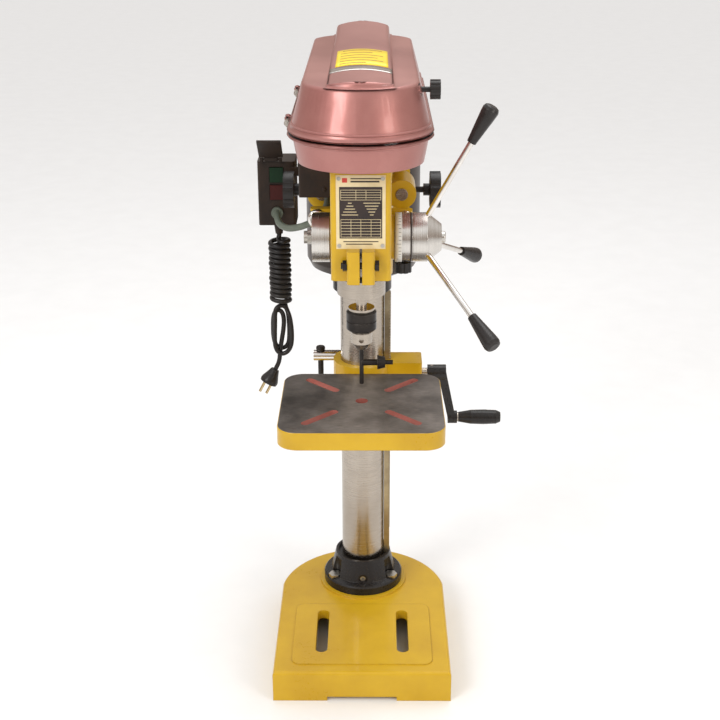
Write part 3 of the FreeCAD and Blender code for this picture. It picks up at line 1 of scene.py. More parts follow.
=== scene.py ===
# %% [markdown]
# # A bench drill press, dressed for its portrait
# The working model arrives as a fixed frame: every casting, shaft and knob already has its place and
# its joint. This lesson gives each one its finish, and adds the small pieces that only matter to the eye.

# %% Load the frame
import bpy, bmesh
from math import radians, sin, cos, pi
from mathutils import Matrix, Vector


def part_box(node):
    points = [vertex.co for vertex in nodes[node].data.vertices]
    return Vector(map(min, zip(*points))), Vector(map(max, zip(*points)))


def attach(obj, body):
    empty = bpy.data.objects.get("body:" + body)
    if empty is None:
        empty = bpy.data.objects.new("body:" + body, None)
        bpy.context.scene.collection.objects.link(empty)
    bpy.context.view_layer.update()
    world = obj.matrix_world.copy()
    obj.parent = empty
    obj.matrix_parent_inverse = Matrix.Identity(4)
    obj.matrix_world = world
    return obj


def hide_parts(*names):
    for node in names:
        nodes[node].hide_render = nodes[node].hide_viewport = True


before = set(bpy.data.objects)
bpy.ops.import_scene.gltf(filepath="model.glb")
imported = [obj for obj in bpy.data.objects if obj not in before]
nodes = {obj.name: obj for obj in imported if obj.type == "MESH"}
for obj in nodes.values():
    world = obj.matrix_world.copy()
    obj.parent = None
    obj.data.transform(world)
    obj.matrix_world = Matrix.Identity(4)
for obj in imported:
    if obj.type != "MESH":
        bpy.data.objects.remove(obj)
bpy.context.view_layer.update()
MM = 0.001

# %% [markdown]
# ## Camera
# The press stands on a bench and is seen from a little above, by a long lens, so its uprights stay
# nearly parallel. Three turns make the view: the heading, the downward tilt, and a very small roll.

# %% Camera
LENS, SENSOR = 63.87, 36.0
CAMERA_SPOT = (0.0141, -1.6482, 1.0472)
HEADING, DOWNWARD, ROLL = 0.61, 21.70, -0.21


def show(name, data):
    thing = bpy.data.objects.new(name, data)
    bpy.context.scene.collection.objects.link(thing)
    return thing


camera = show("camera", bpy.data.cameras.new("camera"))
camera.data.lens, camera.data.sensor_width = LENS, SENSOR
camera.matrix_world = (Matrix.Translation(CAMERA_SPOT)
                       @ Matrix.Rotation(radians(HEADING), 4, "Z")
                       @ Matrix.Rotation(radians(90 - DOWNWARD), 4, "X")
                       @ Matrix.Rotation(radians(ROLL), 4, "Z"))
bpy.context.scene.camera = camera
bpy.context.scene.view_settings.view_transform = "Standard"
print("lens", LENS, "mm, looking down by", DOWNWARD, "degrees")

# %% [markdown]
# ## The power cord
# The mains cord hangs from the switch box, wound up for the shelf: a dozen turns, then a few long folds,
# then the plug. It could be swept along edges, but a spline with a round bevel keeps one thickness all
# the way. A NURBS spline of order three stays smooth, and cuts a little inside each point it is given.
# The tube's thickness comes from the bevel times each point's radius, so the two are set together.

# %% Cord spline
CORD = 6.5 * MM
neck = Vector((-115.5, 62, 556)) * MM
plug_neck = Vector((-126.5, 60, 353)) * MM


def spline_tube(name, points, thickness):
    curve = bpy.data.curves.new(name, "CURVE")
    curve.dimensions = "3D"
    line = curve.splines.new("NURBS")
    line.points.add(len(points) - 1)
    for knot, spot in zip(line.points, points):
        knot.co = (*spot, 1.0)
        knot.radius = MM
    line.order_u = 3
    line.use_endpoint_u = True
    line.resolution_u = 6
    curve.bevel_depth = thickness / 2 / MM
    curve.bevel_resolution = 4
    curve.use_fill_caps = True
    return show(name, curve)


# %% [markdown]
# ## The route of the cord
# The lead in and the folds are listed point by point, in millimetres from the neck. The turns between them
# come from a loop, and a slow wander in their radius keeps them from looking machine made.

# %% Cord route
lead_in = [(0, 0, 0), (0, 0, -3), (-1.6, -1.6, -8.4), (0.4, -8.0, -9.6), (6.2, -11.4, -10.0),
           (11.2, -6.6, -10.2)]
route = [neck + Vector(spot) * MM for spot in lead_in]
TURNS, STEPS = 12, 12
TURN_RADIUS, WANDER, WANDER_RATE = 12.9, 0.5, 0.37
FIRST_TURN, TURN_PITCH = -10.5, 7.25
for i in range(TURNS * STEPS + 1):
    angle = 2 * pi * i / STEPS
    bulge = TURN_RADIUS + WANDER * sin(i * WANDER_RATE)
    height = FIRST_TURN - TURN_PITCH * i / STEPS
    route.append(neck + Vector((bulge * cos(angle), bulge * sin(angle), height)) * MM)
folds = [(11.4, 6.5, -98.0), (7.0, 9.8, -100.0), (4.6, 8.6, -106.5), (7.4, 3.6, -113.5), (11.6, -1.8, -121),
         (13.9, -4.4, -135), (14.6, -4.4, -150), (13.6, -4.5, -164), (8.8, -4.7, -174), (0.8, -4.8, -178.5),
         (-6.6, -4.7, -175), (-10.2, -4.5, -165), (-10.0, -4.3, -148), (-9.2, -4, -131), (-9.0, -3.6, -119),
         (-7.8, -2.4, -110.5), (-3.0, -0.4, -106.4), (3.2, 1.6, -106.6), (8.0, 3.0, -112), (9.8, 4, -124),
         (10.4, 4.4, -140), (10.2, 4.4, -155), (8.8, 4.5, -165.5), (3.2, 4.6, -172), (-4.0, 4.6, -172.5),
         (-10.2, 4.5, -167), (-12.8, 4.4, -155), (-12.8, 4.4, -140), (-12.4, 4.2, -127), (-9.6, 3.2, -116.5),
         (-4.0, 1.8, -112.6), (1.4, 0.8, -116.5), (3.4, 0.2, -126), (2.8, 0, -138), (0.6, 0, -152),
         (-2.0, 0, -166), (-3.6, 0, -178), (-4.6, -0.2, -189), (-7.4, -1.0, -197)]
route += [neck + Vector(spot) * MM for spot in folds] + [plug_neck]
power_cord = spline_tube("power_cord_line", route, CORD)


def along(points):
    return sum((b - a).length for a, b in zip(points, points[1:]))


print("cord route", round(along(route), 3), "m of corners")
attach(power_cord, "stand")
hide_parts("power_cord", "cord_hank")

# %% [markdown]
# ## Tools for finishes
# A machine's paint and metal are never one flat colour. Three small groups do most of the work here:
# one clouds a colour, one finds the worn edges, and one draws the fine relief that catches the light.
# A node group is built once and placed in every material with its own values, so a change to it
# reaches them all. These helpers give a group its sockets and save repeating long node calls.

# %% Group sockets
def new_group(name, inputs, outputs):
    group = bpy.data.node_groups.new(name, "ShaderNodeTree")
    for label, kind, value in inputs:
        socket = group.interface.new_socket(name=label, in_out="INPUT", socket_type=kind)
        if value is not None:
            socket.default_value = value
    for label, kind in outputs:
        group.interface.new_socket(name=label, in_out="OUTPUT", socket_type=kind)
    entry, leave = group.nodes.new("NodeGroupInput"), group.nodes.new("NodeGroupOutput")
    return group, entry, leave


def wire(tree, source, target):
    tree.links.new(source, target)


def add(tree, kind, **settings):
    node = tree.nodes.new(kind)
    for name, value in settings.items():
        if hasattr(node, name):
            setattr(node, name, value)
        else:
            node.inputs[name.replace("_", " ")].default_value = value
    return node


def span(node, side, low, high):
    node.inputs[side + " Min"].default_value = low
    node.inputs[side + " Max"].default_value = high


# %% [markdown]
# ## Clouded colour
# Paint that has been handled for years isn't one colour. Soft noise picks between a light and a dark
# tone, and two limits decide how sharply one gives way to the other. The same noise comes out as a
# value too, so that the gloss can change with the colour.

# %% Clouded colour
clouds, entry, leave = new_group(
    "clouded colour",
    [("Vector", "NodeSocketVector", None), ("Size", "NodeSocketFloat", 20.0),
     ("Light", "NodeSocketColor", (0.8, 0.8, 0.8, 1)), ("Dark", "NodeSocketColor", (0.2, 0.2, 0.2, 1)),
     ("Low", "NodeSocketFloat", 0.35), ("High", "NodeSocketFloat", 0.65)],
    [("Color", "NodeSocketColor"), ("Value", "NodeSocketFloat")])
noise = add(clouds, "ShaderNodeTexNoise", Detail=5.0, Roughness=0.6)
spread = add(clouds, "ShaderNodeMapRange")
blend = add(clouds, "ShaderNodeMix", data_type="RGBA")
wire(clouds, entry.outputs["Vector"], noise.inputs["Vector"])
wire(clouds, entry.outputs["Size"], noise.inputs["Scale"])
wire(clouds, noise.outputs["Fac"], spread.inputs["Value"])
wire(clouds, entry.outputs["Low"], spread.inputs["From Min"])
wire(clouds, entry.outputs["High"], spread.inputs["From Max"])
wire(clouds, spread.outputs["Result"], blend.inputs["Factor"])
wire(clouds, entry.outputs["Dark"], blend.inputs["A"])
wire(clouds, entry.outputs["Light"], blend.inputs["B"])
wire(clouds, blend.outputs["Result"], leave.inputs["Color"])
wire(clouds, spread.outputs["Result"], leave.inputs["Value"])
print(clouds.name, len(clouds.nodes), "nodes")

# %% [markdown]
# ## Worn edges
# Enamel wears first where a hand or a rag catches it, on the corners. A Bevel node rounds the normal
# near an edge, so where it differs from the true normal there is an edge. Noise breaks the line up,
# because real wear is patchy.

# %% Worn edges
EDGE_SAMPLES = 4
worn, entry, leave = new_group(
    "worn edges",
    [("Vector", "NodeSocketVector", None), ("Width", "NodeSocketFloat", 0.0012),
     ("Amount", "NodeSocketFloat", 1.0)],
    [("Mask", "NodeSocketFloat")])
soft = add(worn, "ShaderNodeBevel", samples=EDGE_SAMPLES)
true_normal = add(worn, "ShaderNodeNewGeometry")
match = add(worn, "ShaderNodeVectorMath", operation="DOT_PRODUCT")
edge = add(worn, "ShaderNodeMapRange")
span(edge, "From", 0.97, 0.80)
patchy = add(worn, "ShaderNodeTexNoise", Scale=90.0, Detail=4.0)
chips = add(worn, "ShaderNodeMapRange")
span(chips, "From", 0.42, 0.62)
both = add(worn, "ShaderNodeMath", operation="MULTIPLY")
scaled = add(worn, "ShaderNodeMath", operation="MULTIPLY")
scaled.use_clamp = True
wire(worn, entry.outputs["Width"], soft.inputs["Radius"])
wire(worn, soft.outputs["Normal"], match.inputs[0])
wire(worn, true_normal.outputs["Normal"], match.inputs[1])
wire(worn, match.outputs["Value"], edge.inputs["Value"])
wire(worn, entry.outputs["Vector"], patchy.inputs["Vector"])
wire(worn, patchy.outputs["Fac"], chips.inputs["Value"])
wire(worn, edge.outputs["Result"], both.inputs[0])
wire(worn, chips.outputs["Result"], both.inputs[1])
wire(worn, both.outputs["Value"], scaled.inputs[0])
wire(worn, entry.outputs["Amount"], scaled.inputs[1])
wire(worn, scaled.outputs["Value"], leave.inputs["Mask"])
print(worn.name, len(worn.nodes), "nodes")

# %% [markdown]
# ## Fine relief
# Sprayed enamel ripples, ground steel is scratched one way, and plastic is grained. All three are
# noise, stretched or not: the coordinates are multiplied before the noise reads them, so a large
# number on an axis packs the marks close together along it.

# %% Fine relief
grain, entry, leave = new_group(
    "fine relief",
    [("Vector", "NodeSocketVector", None), ("Stretch", "NodeSocketVector", (1, 1, 1)),
     ("Size", "NodeSocketFloat", 400.0)],
    [("Height", "NodeSocketFloat")])
pull = add(grain, "ShaderNodeVectorMath", operation="MULTIPLY")
marks = add(grain, "ShaderNodeTexNoise", Detail=3.0, Roughness=0.55)
wire(grain, entry.outputs["Vector"], pull.inputs[0])
wire(grain, entry.outputs["Stretch"], pull.inputs[1])
wire(grain, pull.outputs["Vector"], marks.inputs["Vector"])
wire(grain, entry.outputs["Size"], marks.inputs["Scale"])
wire(grain, marks.outputs["Fac"], leave.inputs["Height"])
print(grain.name, len(grain.nodes), "nodes")

# %% [markdown]
# ## One recipe, many finishes
# Every finish is a clouded colour, wear on its edges, and relief under its gloss. Only the numbers
# differ: enamel has a coat over slow, wide ripples; ground steel has lines pulled out along one way.
# The shader stays in the material, outside the groups, and its plain numbers go on its own sockets.

# %% Finish recipe
COAT_ROUGHNESS = 0.08
CLOUD_SHARE = 0.5
GLOSS_SPAN, TINT_SPAN = (0.3, 1.2), (0.35, 0.6)


def finish(name, light, dark, metallic=0.0, rough=(0.3, 0.4), clouds_size=14.0, stretch=(1, 1, 1),
           grain_size=500.0, bump=0.15, depth=0.0004, wear=(0, (0.5, 0.5, 0.5)), coat=0.0,
           low=0.35, high=0.65, wear_width=0.0012, grain_tint=0.0, round_edge=0.0, shine=0.5):
    material = bpy.data.materials.new(name)
    material.use_nodes = True
    tree = material.node_tree
    shader = tree.nodes["Principled BSDF"]
    place = add(tree, "ShaderNodeTexCoord").outputs["Object"]
    cloudy = add(tree, "ShaderNodeGroup", node_tree=clouds)
    cloudy.inputs["Size"].default_value = clouds_size
    cloudy.inputs["Light"].default_value = (*light, 1)
    cloudy.inputs["Dark"].default_value = (*dark, 1)
    cloudy.inputs["Low"].default_value, cloudy.inputs["High"].default_value = low, high
    wire(tree, place, cloudy.inputs["Vector"])
    relief = add(tree, "ShaderNodeGroup", node_tree=grain)
    relief.inputs["Stretch"].default_value = stretch
    relief.inputs["Size"].default_value = grain_size
    wire(tree, place, relief.inputs["Vector"])
    raised = add(tree, "ShaderNodeBump", Strength=bump, Distance=depth)
    wire(tree, relief.outputs["Height"], raised.inputs["Height"])
    if round_edge:
        eased = add(tree, "ShaderNodeBevel", samples=EDGE_SAMPLES, Radius=round_edge)
        wire(tree, eased.outputs["Normal"], raised.inputs["Normal"])
    wire(tree, raised.outputs["Normal"], shader.inputs["Normal"])
    gloss = add(tree, "ShaderNodeMapRange")
    span(gloss, "To", *rough)
    span(gloss, "From", *GLOSS_SPAN)
    halfway = add(tree, "ShaderNodeMath", operation="ADD")
    wire(tree, relief.outputs["Height"], halfway.inputs[0])
    part = add(tree, "ShaderNodeMath", operation="MULTIPLY")
    wire(tree, cloudy.outputs["Value"], part.inputs[0])
    part.inputs[1].default_value = CLOUD_SHARE
    wire(tree, part.outputs["Value"], halfway.inputs[1])
    wire(tree, halfway.outputs["Value"], gloss.inputs["Value"])
    wire(tree, gloss.outputs["Result"], shader.inputs["Roughness"])
    colour = cloudy.outputs["Color"]
    if grain_tint:
        tint = add(tree, "ShaderNodeMix", data_type="RGBA", blend_type="MULTIPLY")
        tone = add(tree, "ShaderNodeMapRange")
        span(tone, "From", *TINT_SPAN)
        tone.inputs["To Min"].default_value = 1 - grain_tint
        wire(tree, relief.outputs["Height"], tone.inputs["Value"])
        tint.inputs["Factor"].default_value = 1.0
        wire(tree, colour, tint.inputs["A"])
        wire(tree, tone.outputs["Result"], tint.inputs["B"])
        colour = tint.outputs["Result"]
    if wear[0]:
        rubbed = add(tree, "ShaderNodeGroup", node_tree=worn)
        rubbed.inputs["Amount"].default_value = wear[0]
        rubbed.inputs["Width"].default_value = wear_width
        wire(tree, place, rubbed.inputs["Vector"])
        bare = add(tree, "ShaderNodeMix", data_type="RGBA")
        wire(tree, rubbed.outputs["Mask"], bare.inputs["Factor"])
        wire(tree, colour, bare.inputs["A"])
        bare.inputs["B"].default_value = (*wear[1], 1)
        colour = bare.outputs["Result"]
    wire(tree, colour, shader.inputs["Base Color"])
    shader.inputs["Metallic"].default_value = metallic
    shader.inputs["Specular IOR Level"].default_value = shine
    if coat:
        shader.inputs["Coat Weight"].default_value = coat
        shader.inputs["Coat Roughness"].default_value = COAT_ROUGHNESS
    return material


# %% [markdown]
# ## Paints
# The castings are sprayed yellow, the cover rose with a metal flake, and the motor and the flange dark.
# Real castings have a round of a millimetre or two on every corner. It could be modelled, but a Bevel
# node in the material bends the light in the same way and leaves the mesh alone.

# %% Paints
CASTING = 1.6 * MM
yellow = finish("yellow enamel", (0.62, 0.385, 0.014), (0.52, 0.305, 0.008), rough=(0.26, 0.40),
                clouds_size=9, grain_size=260, bump=0.16, depth=0.0006, coat=0.15,
                wear=(0.5, (0.34, 0.20, 0.03)), round_edge=CASTING, shine=0.35)
rose = finish("rose metallic enamel", (0.470, 0.215, 0.190), (0.370, 0.140, 0.125), metallic=0.5,
              rough=(0.30, 0.44), clouds_size=6, grain_size=2600, bump=0.07, depth=0.0002, coat=0.25,
              wear=(0.35, (0.62, 0.40, 0.38)), grain_tint=0.16, round_edge=CASTING, shine=0.35)
black_paint = finish("black enamel", (0.022, 0.019, 0.017), (0.012, 0.010, 0.010), rough=(0.22, 0.34),
                     clouds_size=12, grain_size=300, bump=0.14, depth=0.0006, coat=0.1,
                     wear=(0.6, (0.16, 0.12, 0.09)), round_edge=CASTING, shine=0.25)
motor_paint = finish("motor enamel", (0.050, 0.034, 0.026), (0.028, 0.019, 0.015), rough=(0.28, 0.42),
                     clouds_size=10, grain_size=420, bump=0.12, depth=0.0004, coat=0.1,
                     wear=(0.4, (0.14, 0.10, 0.08)), round_edge=CASTING, shine=0.25)
red_primer = finish("red primer", (0.42, 0.13, 0.10), (0.28, 0.08, 0.06), rough=(0.5, 0.7), bump=0.2)
print("paints, rounded by", CASTING, "m")

# %% [markdown]
# ## Metals
# Each metal is told apart by how it was worked. The column is ground round and shows fine rings, turned
# parts show rings about their own axis, the table top is planed and stained with oil, and chrome has
# hardly any marks. So the stretch and the roughness differ more than the colours do.

# %% Metals
EASED = 0.5 * MM
# Ground steel is darker and warmer than bare steel. Partly this is its own tone, and partly it is a painted
# reflection of dim, warm surroundings, on the column and every other ground part.
ground = finish("ground steel", (0.50, 0.445, 0.385), (0.42, 0.365, 0.305), metallic=1.0,
                rough=(0.20, 0.32), clouds_size=9, stretch=(0.6, 0.6, 14), grain_size=90, bump=0.05,
                depth=0.0002, grain_tint=0.16, round_edge=EASED)
rack_metal = finish("oiled rack steel", (0.50, 0.42, 0.27), (0.30, 0.235, 0.145), metallic=1.0,
                    rough=(0.28, 0.42), clouds_size=30, stretch=(1, 1, 6), grain_size=200, bump=0.08)
chrome = finish("bright chrome", (0.80, 0.775, 0.74), (0.66, 0.625, 0.585), metallic=1.0,
                rough=(0.08, 0.18), clouds_size=22, grain_size=900, bump=0.03, depth=0.0002, round_edge=EASED)
turned = finish("turned alloy", (0.70, 0.67, 0.63), (0.62, 0.59, 0.55), metallic=1.0, rough=(0.20, 0.30),
                clouds_size=18, stretch=(60, 1, 1), grain_size=20, bump=0.02, depth=0.0002, grain_tint=0.12,
                round_edge=EASED)
zinc = finish("zinc plate", (0.58, 0.55, 0.50), (0.40, 0.37, 0.32), metallic=1.0, rough=(0.25, 0.42),
              clouds_size=60, grain_size=800, bump=0.08, round_edge=EASED)
blackened = finish("blackened steel", (0.040, 0.034, 0.030), (0.018, 0.015, 0.014), metallic=0.6,
                   rough=(0.26, 0.40), clouds_size=40, grain_size=700, bump=0.1,
                   wear=(0.8, (0.28, 0.25, 0.21)), wear_width=0.0006, round_edge=EASED, shine=0.3)
alloy = finish("cast alloy", (0.62, 0.61, 0.60), (0.48, 0.47, 0.46), metallic=1.0, rough=(0.25, 0.38),
               stretch=(1, 1, 20), grain_size=120, bump=0.08)
iron_top = finish("machined iron", (0.34, 0.305, 0.28), (0.085, 0.075, 0.067), metallic=0.7,
                  rough=(0.30, 0.55), clouds_size=11, stretch=(1, 12, 1), grain_size=90, bump=0.06,
                  depth=0.0002, low=0.36, high=0.68, grain_tint=0.35)
copper = finish("windings", (0.45, 0.20, 0.10), (0.28, 0.12, 0.07), metallic=0.8, rough=(0.35, 0.5),
                grain_size=600, bump=0.3)
brass = finish("plug pins", (0.72, 0.60, 0.36), (0.58, 0.46, 0.26), metallic=1.0, rough=(0.2, 0.35))
print("metals, rounded by", EASED, "m")

# %% [markdown]
# ## Plastics, rubber and print
# Moulded plastic is grained and slightly dull, rubber is duller still, and print is smooth. They use the
# same recipe, without metal except in the silver strip, a painted highlight. The black ones get little shine,
# because black plastic that shines too much turns grey under soft lamps.

# %% Plastics and rubber
black_plastic = finish("black plastic", (0.024, 0.021, 0.020), (0.014, 0.012, 0.011), rough=(0.22, 0.36),
                       clouds_size=30, grain_size=900, bump=0.06, wear=(0.3, (0.06, 0.05, 0.05)),
                       round_edge=EASED, shine=0.3)
switch_plastic = finish("switch plastic", (0.036, 0.022, 0.015), (0.018, 0.012, 0.009), rough=(0.34, 0.48),
                        clouds_size=26, grain_size=1500, bump=0.2, depth=0.0003,
                        wear=(0.35, (0.07, 0.045, 0.03)), round_edge=CASTING, shine=0.2)
rubber = finish("rubber", (0.020, 0.019, 0.018), (0.012, 0.011, 0.011), rough=(0.5, 0.65), grain_size=1200,
                bump=0.18, shine=0.3)
cord_jacket = finish("cord jacket", (0.022, 0.019, 0.017), (0.012, 0.010, 0.010), rough=(0.30, 0.44),
                     grain_size=900, bump=0.08, shine=0.3)
lead_jacket = finish("lead jacket", (0.130, 0.150, 0.115), (0.075, 0.092, 0.070), rough=(0.35, 0.5),
                     clouds_size=30, grain_size=900, bump=0.08)
# The start and stop buttons are darkened nearly to black. This is painted shade, for the shadow that falls
# over the front of the switch box.
green = finish("shaded green button", (0.008, 0.030, 0.012), (0.006, 0.020, 0.009), rough=(0.25, 0.35),
               shine=0.15)
red = finish("shaded red button", (0.060, 0.010, 0.008), (0.04, 0.008, 0.007), rough=(0.25, 0.35),
             shine=0.15)
cream = finish("cream print", (0.78, 0.66, 0.40), (0.66, 0.54, 0.30), rough=(0.30, 0.42),
               clouds_size=40)
dark_print = finish("dark print", (0.030, 0.016, 0.012), (0.018, 0.010, 0.008), rough=(0.26, 0.36),
                    clouds_size=40)
# The silver strip is a painted highlight: a light metal sheet where the step edge of the lid catches the
# light.
highlight_foil = finish("painted highlight foil", (0.62, 0.58, 0.55), (0.46, 0.43, 0.40), metallic=0.9,
                      rough=(0.20, 0.30), stretch=(1, 12, 1), grain_size=200, bump=0.05)
yellow_print = finish("yellow print", (0.92, 0.70, 0.02), (0.86, 0.62, 0.015), rough=(0.3, 0.4))
ink = finish("label ink", (0.36, 0.16, 0.01), (0.26, 0.11, 0.01), rough=(0.3, 0.4))
red_print = finish("red print", (0.62, 0.05, 0.03), (0.50, 0.04, 0.02), rough=(0.3, 0.4))
white_print = finish("white scale", (0.75, 0.73, 0.68), (0.60, 0.57, 0.52), rough=(0.3, 0.42))
print(len(bpy.data.materials), "materials")

# %% [markdown]
# ## Finishes for the frame's own parts
# Each node of the frame starts with one finish. Its shape is mostly right already, so it only needs its
# paint or metal, and the few that need more come later. The table below reads from finish to parts,
# because a few finishes dress many parts.

# %% Dress the nodes
DRESS = {
    yellow: "base head_casting table_bracket motor_plate",
    rose: "belt_cover_pan belt_cover_lid",
    black_paint: "column_flange crank_arm",
    motor_paint: "motor_housing fan_cover",
    ground: "column quill motor_slide_bars spindle crank_shaft chuck_body",
    rack_metal: "rack",
    chrome: "bracket_clamp_screw feed_levers",
    turned: "feed_hub spring_cup depth_ring",
    zinc: "column_fasteners bracket_fasteners lid_hinges pulley_bearings feed_shaft lift_gear "
          "head_fasteners",
    blackened: "rack_ring bracket_clamp_bar chuck_sleeve chuck_key return_spring",
    alloy: "spindle_pulley motor_pulley chuck_jaw_1 chuck_jaw_2 chuck_jaw_3",
    copper: "stator rotor",
    black_plastic: "crank_grip feed_lever_grips depth_lock_knob slide_lock_knob_right "
                   "slide_lock_knob_left lid_knob plug",
    switch_plastic: "switch_box switch_flap junction_box",
    rubber: "quill_bumper v_belt",
    lead_jacket: "motor_lead",
    green: "start_button",
    red: "stop_button",
    cream: "nameplate",
    iron_top: "table",
}
for material, names in DRESS.items():
    for name in names.split():
        mesh = nodes[name].data
        if not mesh.materials:
            mesh.materials.append(material)
        for i in range(len(mesh.materials)):
            mesh.materials[i] = material
power_cord.data.materials.append(cord_jacket)
missing = sorted(set(nodes) - {n for names in DRESS.values() for n in names.split()})
print("nodes without a finish:", missing)

# %% [markdown]
# ## Softened copies
# A casting has no sharp corners, and the eye knows it. The frame's mesh stays as it is, so a copy is
# merged, its flat areas are cleared of needless edges, and its corners get a small round. The copy can
# also carry several finishes, chosen face by face.

# %% Copy helper
MERGE = 2e-6
FLAT_ANGLE, CREASE_ANGLE = 0.4, 24


def to_mesh(name, shape, *materials):
    mesh = bpy.data.meshes.new(name)
    shape.to_mesh(mesh)
    shape.free()
    for material in materials:
        mesh.materials.append(material)
    return mesh


def soften(node, body, width, segments=2, limit=30, materials=None, choose=None):
    source = nodes[node]
    shape = bmesh.new()
    shape.from_mesh(source.data)
    bmesh.ops.remove_doubles(shape, verts=shape.verts, dist=MERGE)
    bmesh.ops.dissolve_limit(shape, angle_limit=radians(FLAT_ANGLE), verts=shape.verts,
                             edges=shape.edges)
    if width:
        corners = [e for e in shape.edges
                   if len(e.link_faces) == 2 and e.calc_face_angle(0) > radians(limit)]
        bmesh.ops.bevel(shape, geom=corners, offset=width, offset_type="OFFSET", segments=segments,
                        profile=0.5, affect="EDGES", clamp_overlap=False, material=-1)
    corner_low, corner_high = [Vector(corner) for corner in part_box(node)]
    for vert in shape.verts:
        vert.co = [min(max(vert.co[i], corner_low[i]), corner_high[i]) for i in range(3)]
    paints = materials or [source.data.materials[0]]
    for face in shape.faces:
        face.smooth = True
        face.material_index = choose(face.calc_center_median(), face.normal) if choose else 0
    for e in shape.edges:
        e.smooth = len(e.link_faces) != 2 or e.calc_face_angle(0) < radians(CREASE_ANGLE)
    mesh = to_mesh(node + "_soft", shape, *paints)
    piece = show(node + "_soft", mesh)
    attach(piece, body)
    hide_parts(node)
    print(node, len(mesh.polygons), "faces")
    return piece


# %% [markdown]
# ## Castings and covers
# Only the pressed lid shows a wide round at its corners, so only the lid is bevelled in its mesh. The
# pan and the base are merged and smoothed, and the Bevel node in their paint does the rest.

# %% Castings and covers
lid = soften("belt_cover_lid", "cover_lid", 4.0 * MM, segments=4, limit=16)
pan = soften("belt_cover_pan", "stand", 0)
soften("base", "stand", 0)

# %% [markdown]
# ## Rolled beads
# Where the lid meets the pan, both sheet edges are rolled into a bead. A bead follows its shell's own
# outline, so the outline is cut from the shell: a plane bisects a copy, the longest loop of the cut is
# kept, and a round section is swept along it.

# %% Bead helper
ON_PLANE = 1e-6


def fix(piece, body):
    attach(piece, body)
    print(piece.name, len(piece.data.polygons), "faces")


def bead(name, source, body, height, thickness, material):
    shape = bmesh.new()
    shape.from_mesh(source.data)
    whole = shape.verts[:] + shape.edges[:] + shape.faces[:]
    cut = bmesh.ops.bisect_plane(shape, geom=whole, dist=ON_PLANE, plane_co=(0, 0, height * MM),
                                 plane_no=(0, 0, 1))["geom_cut"]
    rim = [e for e in cut if isinstance(e, bmesh.types.BMEdge)]
    chains, left = [], set(rim)
    while left:
        chain, waiting = [], [left.pop()]
        while waiting:
            edge = waiting.pop()
            chain.append(edge)
            near = [e for v in edge.verts for e in v.link_edges if e in left]
            left.difference_update(near)
            waiting += near
        chains.append(chain)
    outline = max(chains, key=lambda chain: sum(e.calc_length() for e in chain))
    kept = {v for e in outline for v in e.verts}
    bmesh.ops.delete(shape, geom=[v for v in shape.verts if v not in kept], context="VERTS")
    inner = [e for e in shape.edges if e not in outline]
    bmesh.ops.delete(shape, geom=inner, context="EDGES")
    wire_piece = show(name + "_wire", to_mesh(name, shape))
    bpy.context.view_layer.objects.active = wire_piece
    for other in bpy.context.selected_objects:
        other.select_set(False)
    wire_piece.select_set(True)
    bpy.ops.object.convert(target="CURVE")
    wire_piece.data.bevel_depth, wire_piece.data.bevel_resolution = thickness / 2 * MM, 3
    depsgraph = bpy.context.evaluated_depsgraph_get()
    swept = bpy.data.meshes.new_from_object(wire_piece.evaluated_get(depsgraph))
    bpy.data.objects.remove(wire_piece)
    swept.materials.clear()
    swept.materials.append(material)
    for face in swept.polygons:
        face.use_smooth = True
    fix(show(name, swept), body)


# %% [markdown]
# ## The two beads
# One bead rides with the lid and one stays on the pan, so the seam opens when the lid does.

# %% Beads
LID_RIM, PAN_RIM, BEAD = 749.0, 732.6, 3.2
bead("lid_bead", lid, "cover_lid", LID_RIM, BEAD, rose)
bead("pan_bead", pan, "stand", PAN_RIM, BEAD, rose)

# %% [markdown]
# ## The table
# The casting is painted, its top is planed bare afterwards, and the walls of its slots keep their red
# primer. It is one casting, so it stays one piece: three finishes are given out face by face, by where
# each face is and which way it looks.

# %% Table
TOP, SKIN, SLOT_DEPTH = 388.25 * MM, 1.6 * MM, 14 * MM
TABLE_FORWARD, SLOT_REACH, SLOT_SIDE = 0.135, 0.106, 0.09


def table_paint(spot, normal):
    if normal.z > 0.9 and spot.z > TOP - SKIN:
        return 0
    ahead = spot.y + TABLE_FORWARD
    off_axis = (spot.x ** 2 + ahead ** 2) ** 0.5
    inside = off_axis < SLOT_REACH and spot.z > TOP - SLOT_DEPTH and abs(normal.z) < 0.5
    return 2 if inside and abs(spot.x) < SLOT_SIDE and abs(ahead) < SLOT_SIDE else 1


soften("table", "tilting_table", 0, materials=[iron_top, yellow, red_primer], choose=table_paint)

# %% [markdown]
# ## Fittings of the head
# Screws, domes and the clamp bolt are one node of the frame, but not one metal: the domes on the sides
# are chromed and the clamp bolt in front is blackened. A box in space tells them apart.

# %% Head fittings
DOME_SIDE, DOME_BACK, DOME_LOW, DOME_HIGH = 43 * MM, -80 * MM, 590 * MM, 640 * MM
CLAMP_FRONT, CLAMP_TOP = -173.9 * MM, 600 * MM


def fitting_paint(spot, normal):
    if abs(spot.x) > DOME_SIDE and spot.y > DOME_BACK and DOME_LOW < spot.z < DOME_HIGH:
        return 1
    return 2 if spot.y < CLAMP_FRONT and spot.z < CLAMP_TOP else 0


soften("head_fasteners", "stand", 0, materials=[zinc, chrome, blackened], choose=fitting_paint)

# %% [markdown]
# ## The plug
# A plug is a moulded body with bare pins. Measuring along the way it points tells pins from plastic.

# %% Plug
PLUG_WAY = Vector((-7, -2, -13)).normalized()
PIN_START = 22.2 * MM


def plug_paint(spot, normal):
    return 1 if (spot - plug_neck).dot(PLUG_WAY) > PIN_START else 0


plug = soften("plug", "stand", 0, materials=[black_plastic, brass], choose=plug_paint)
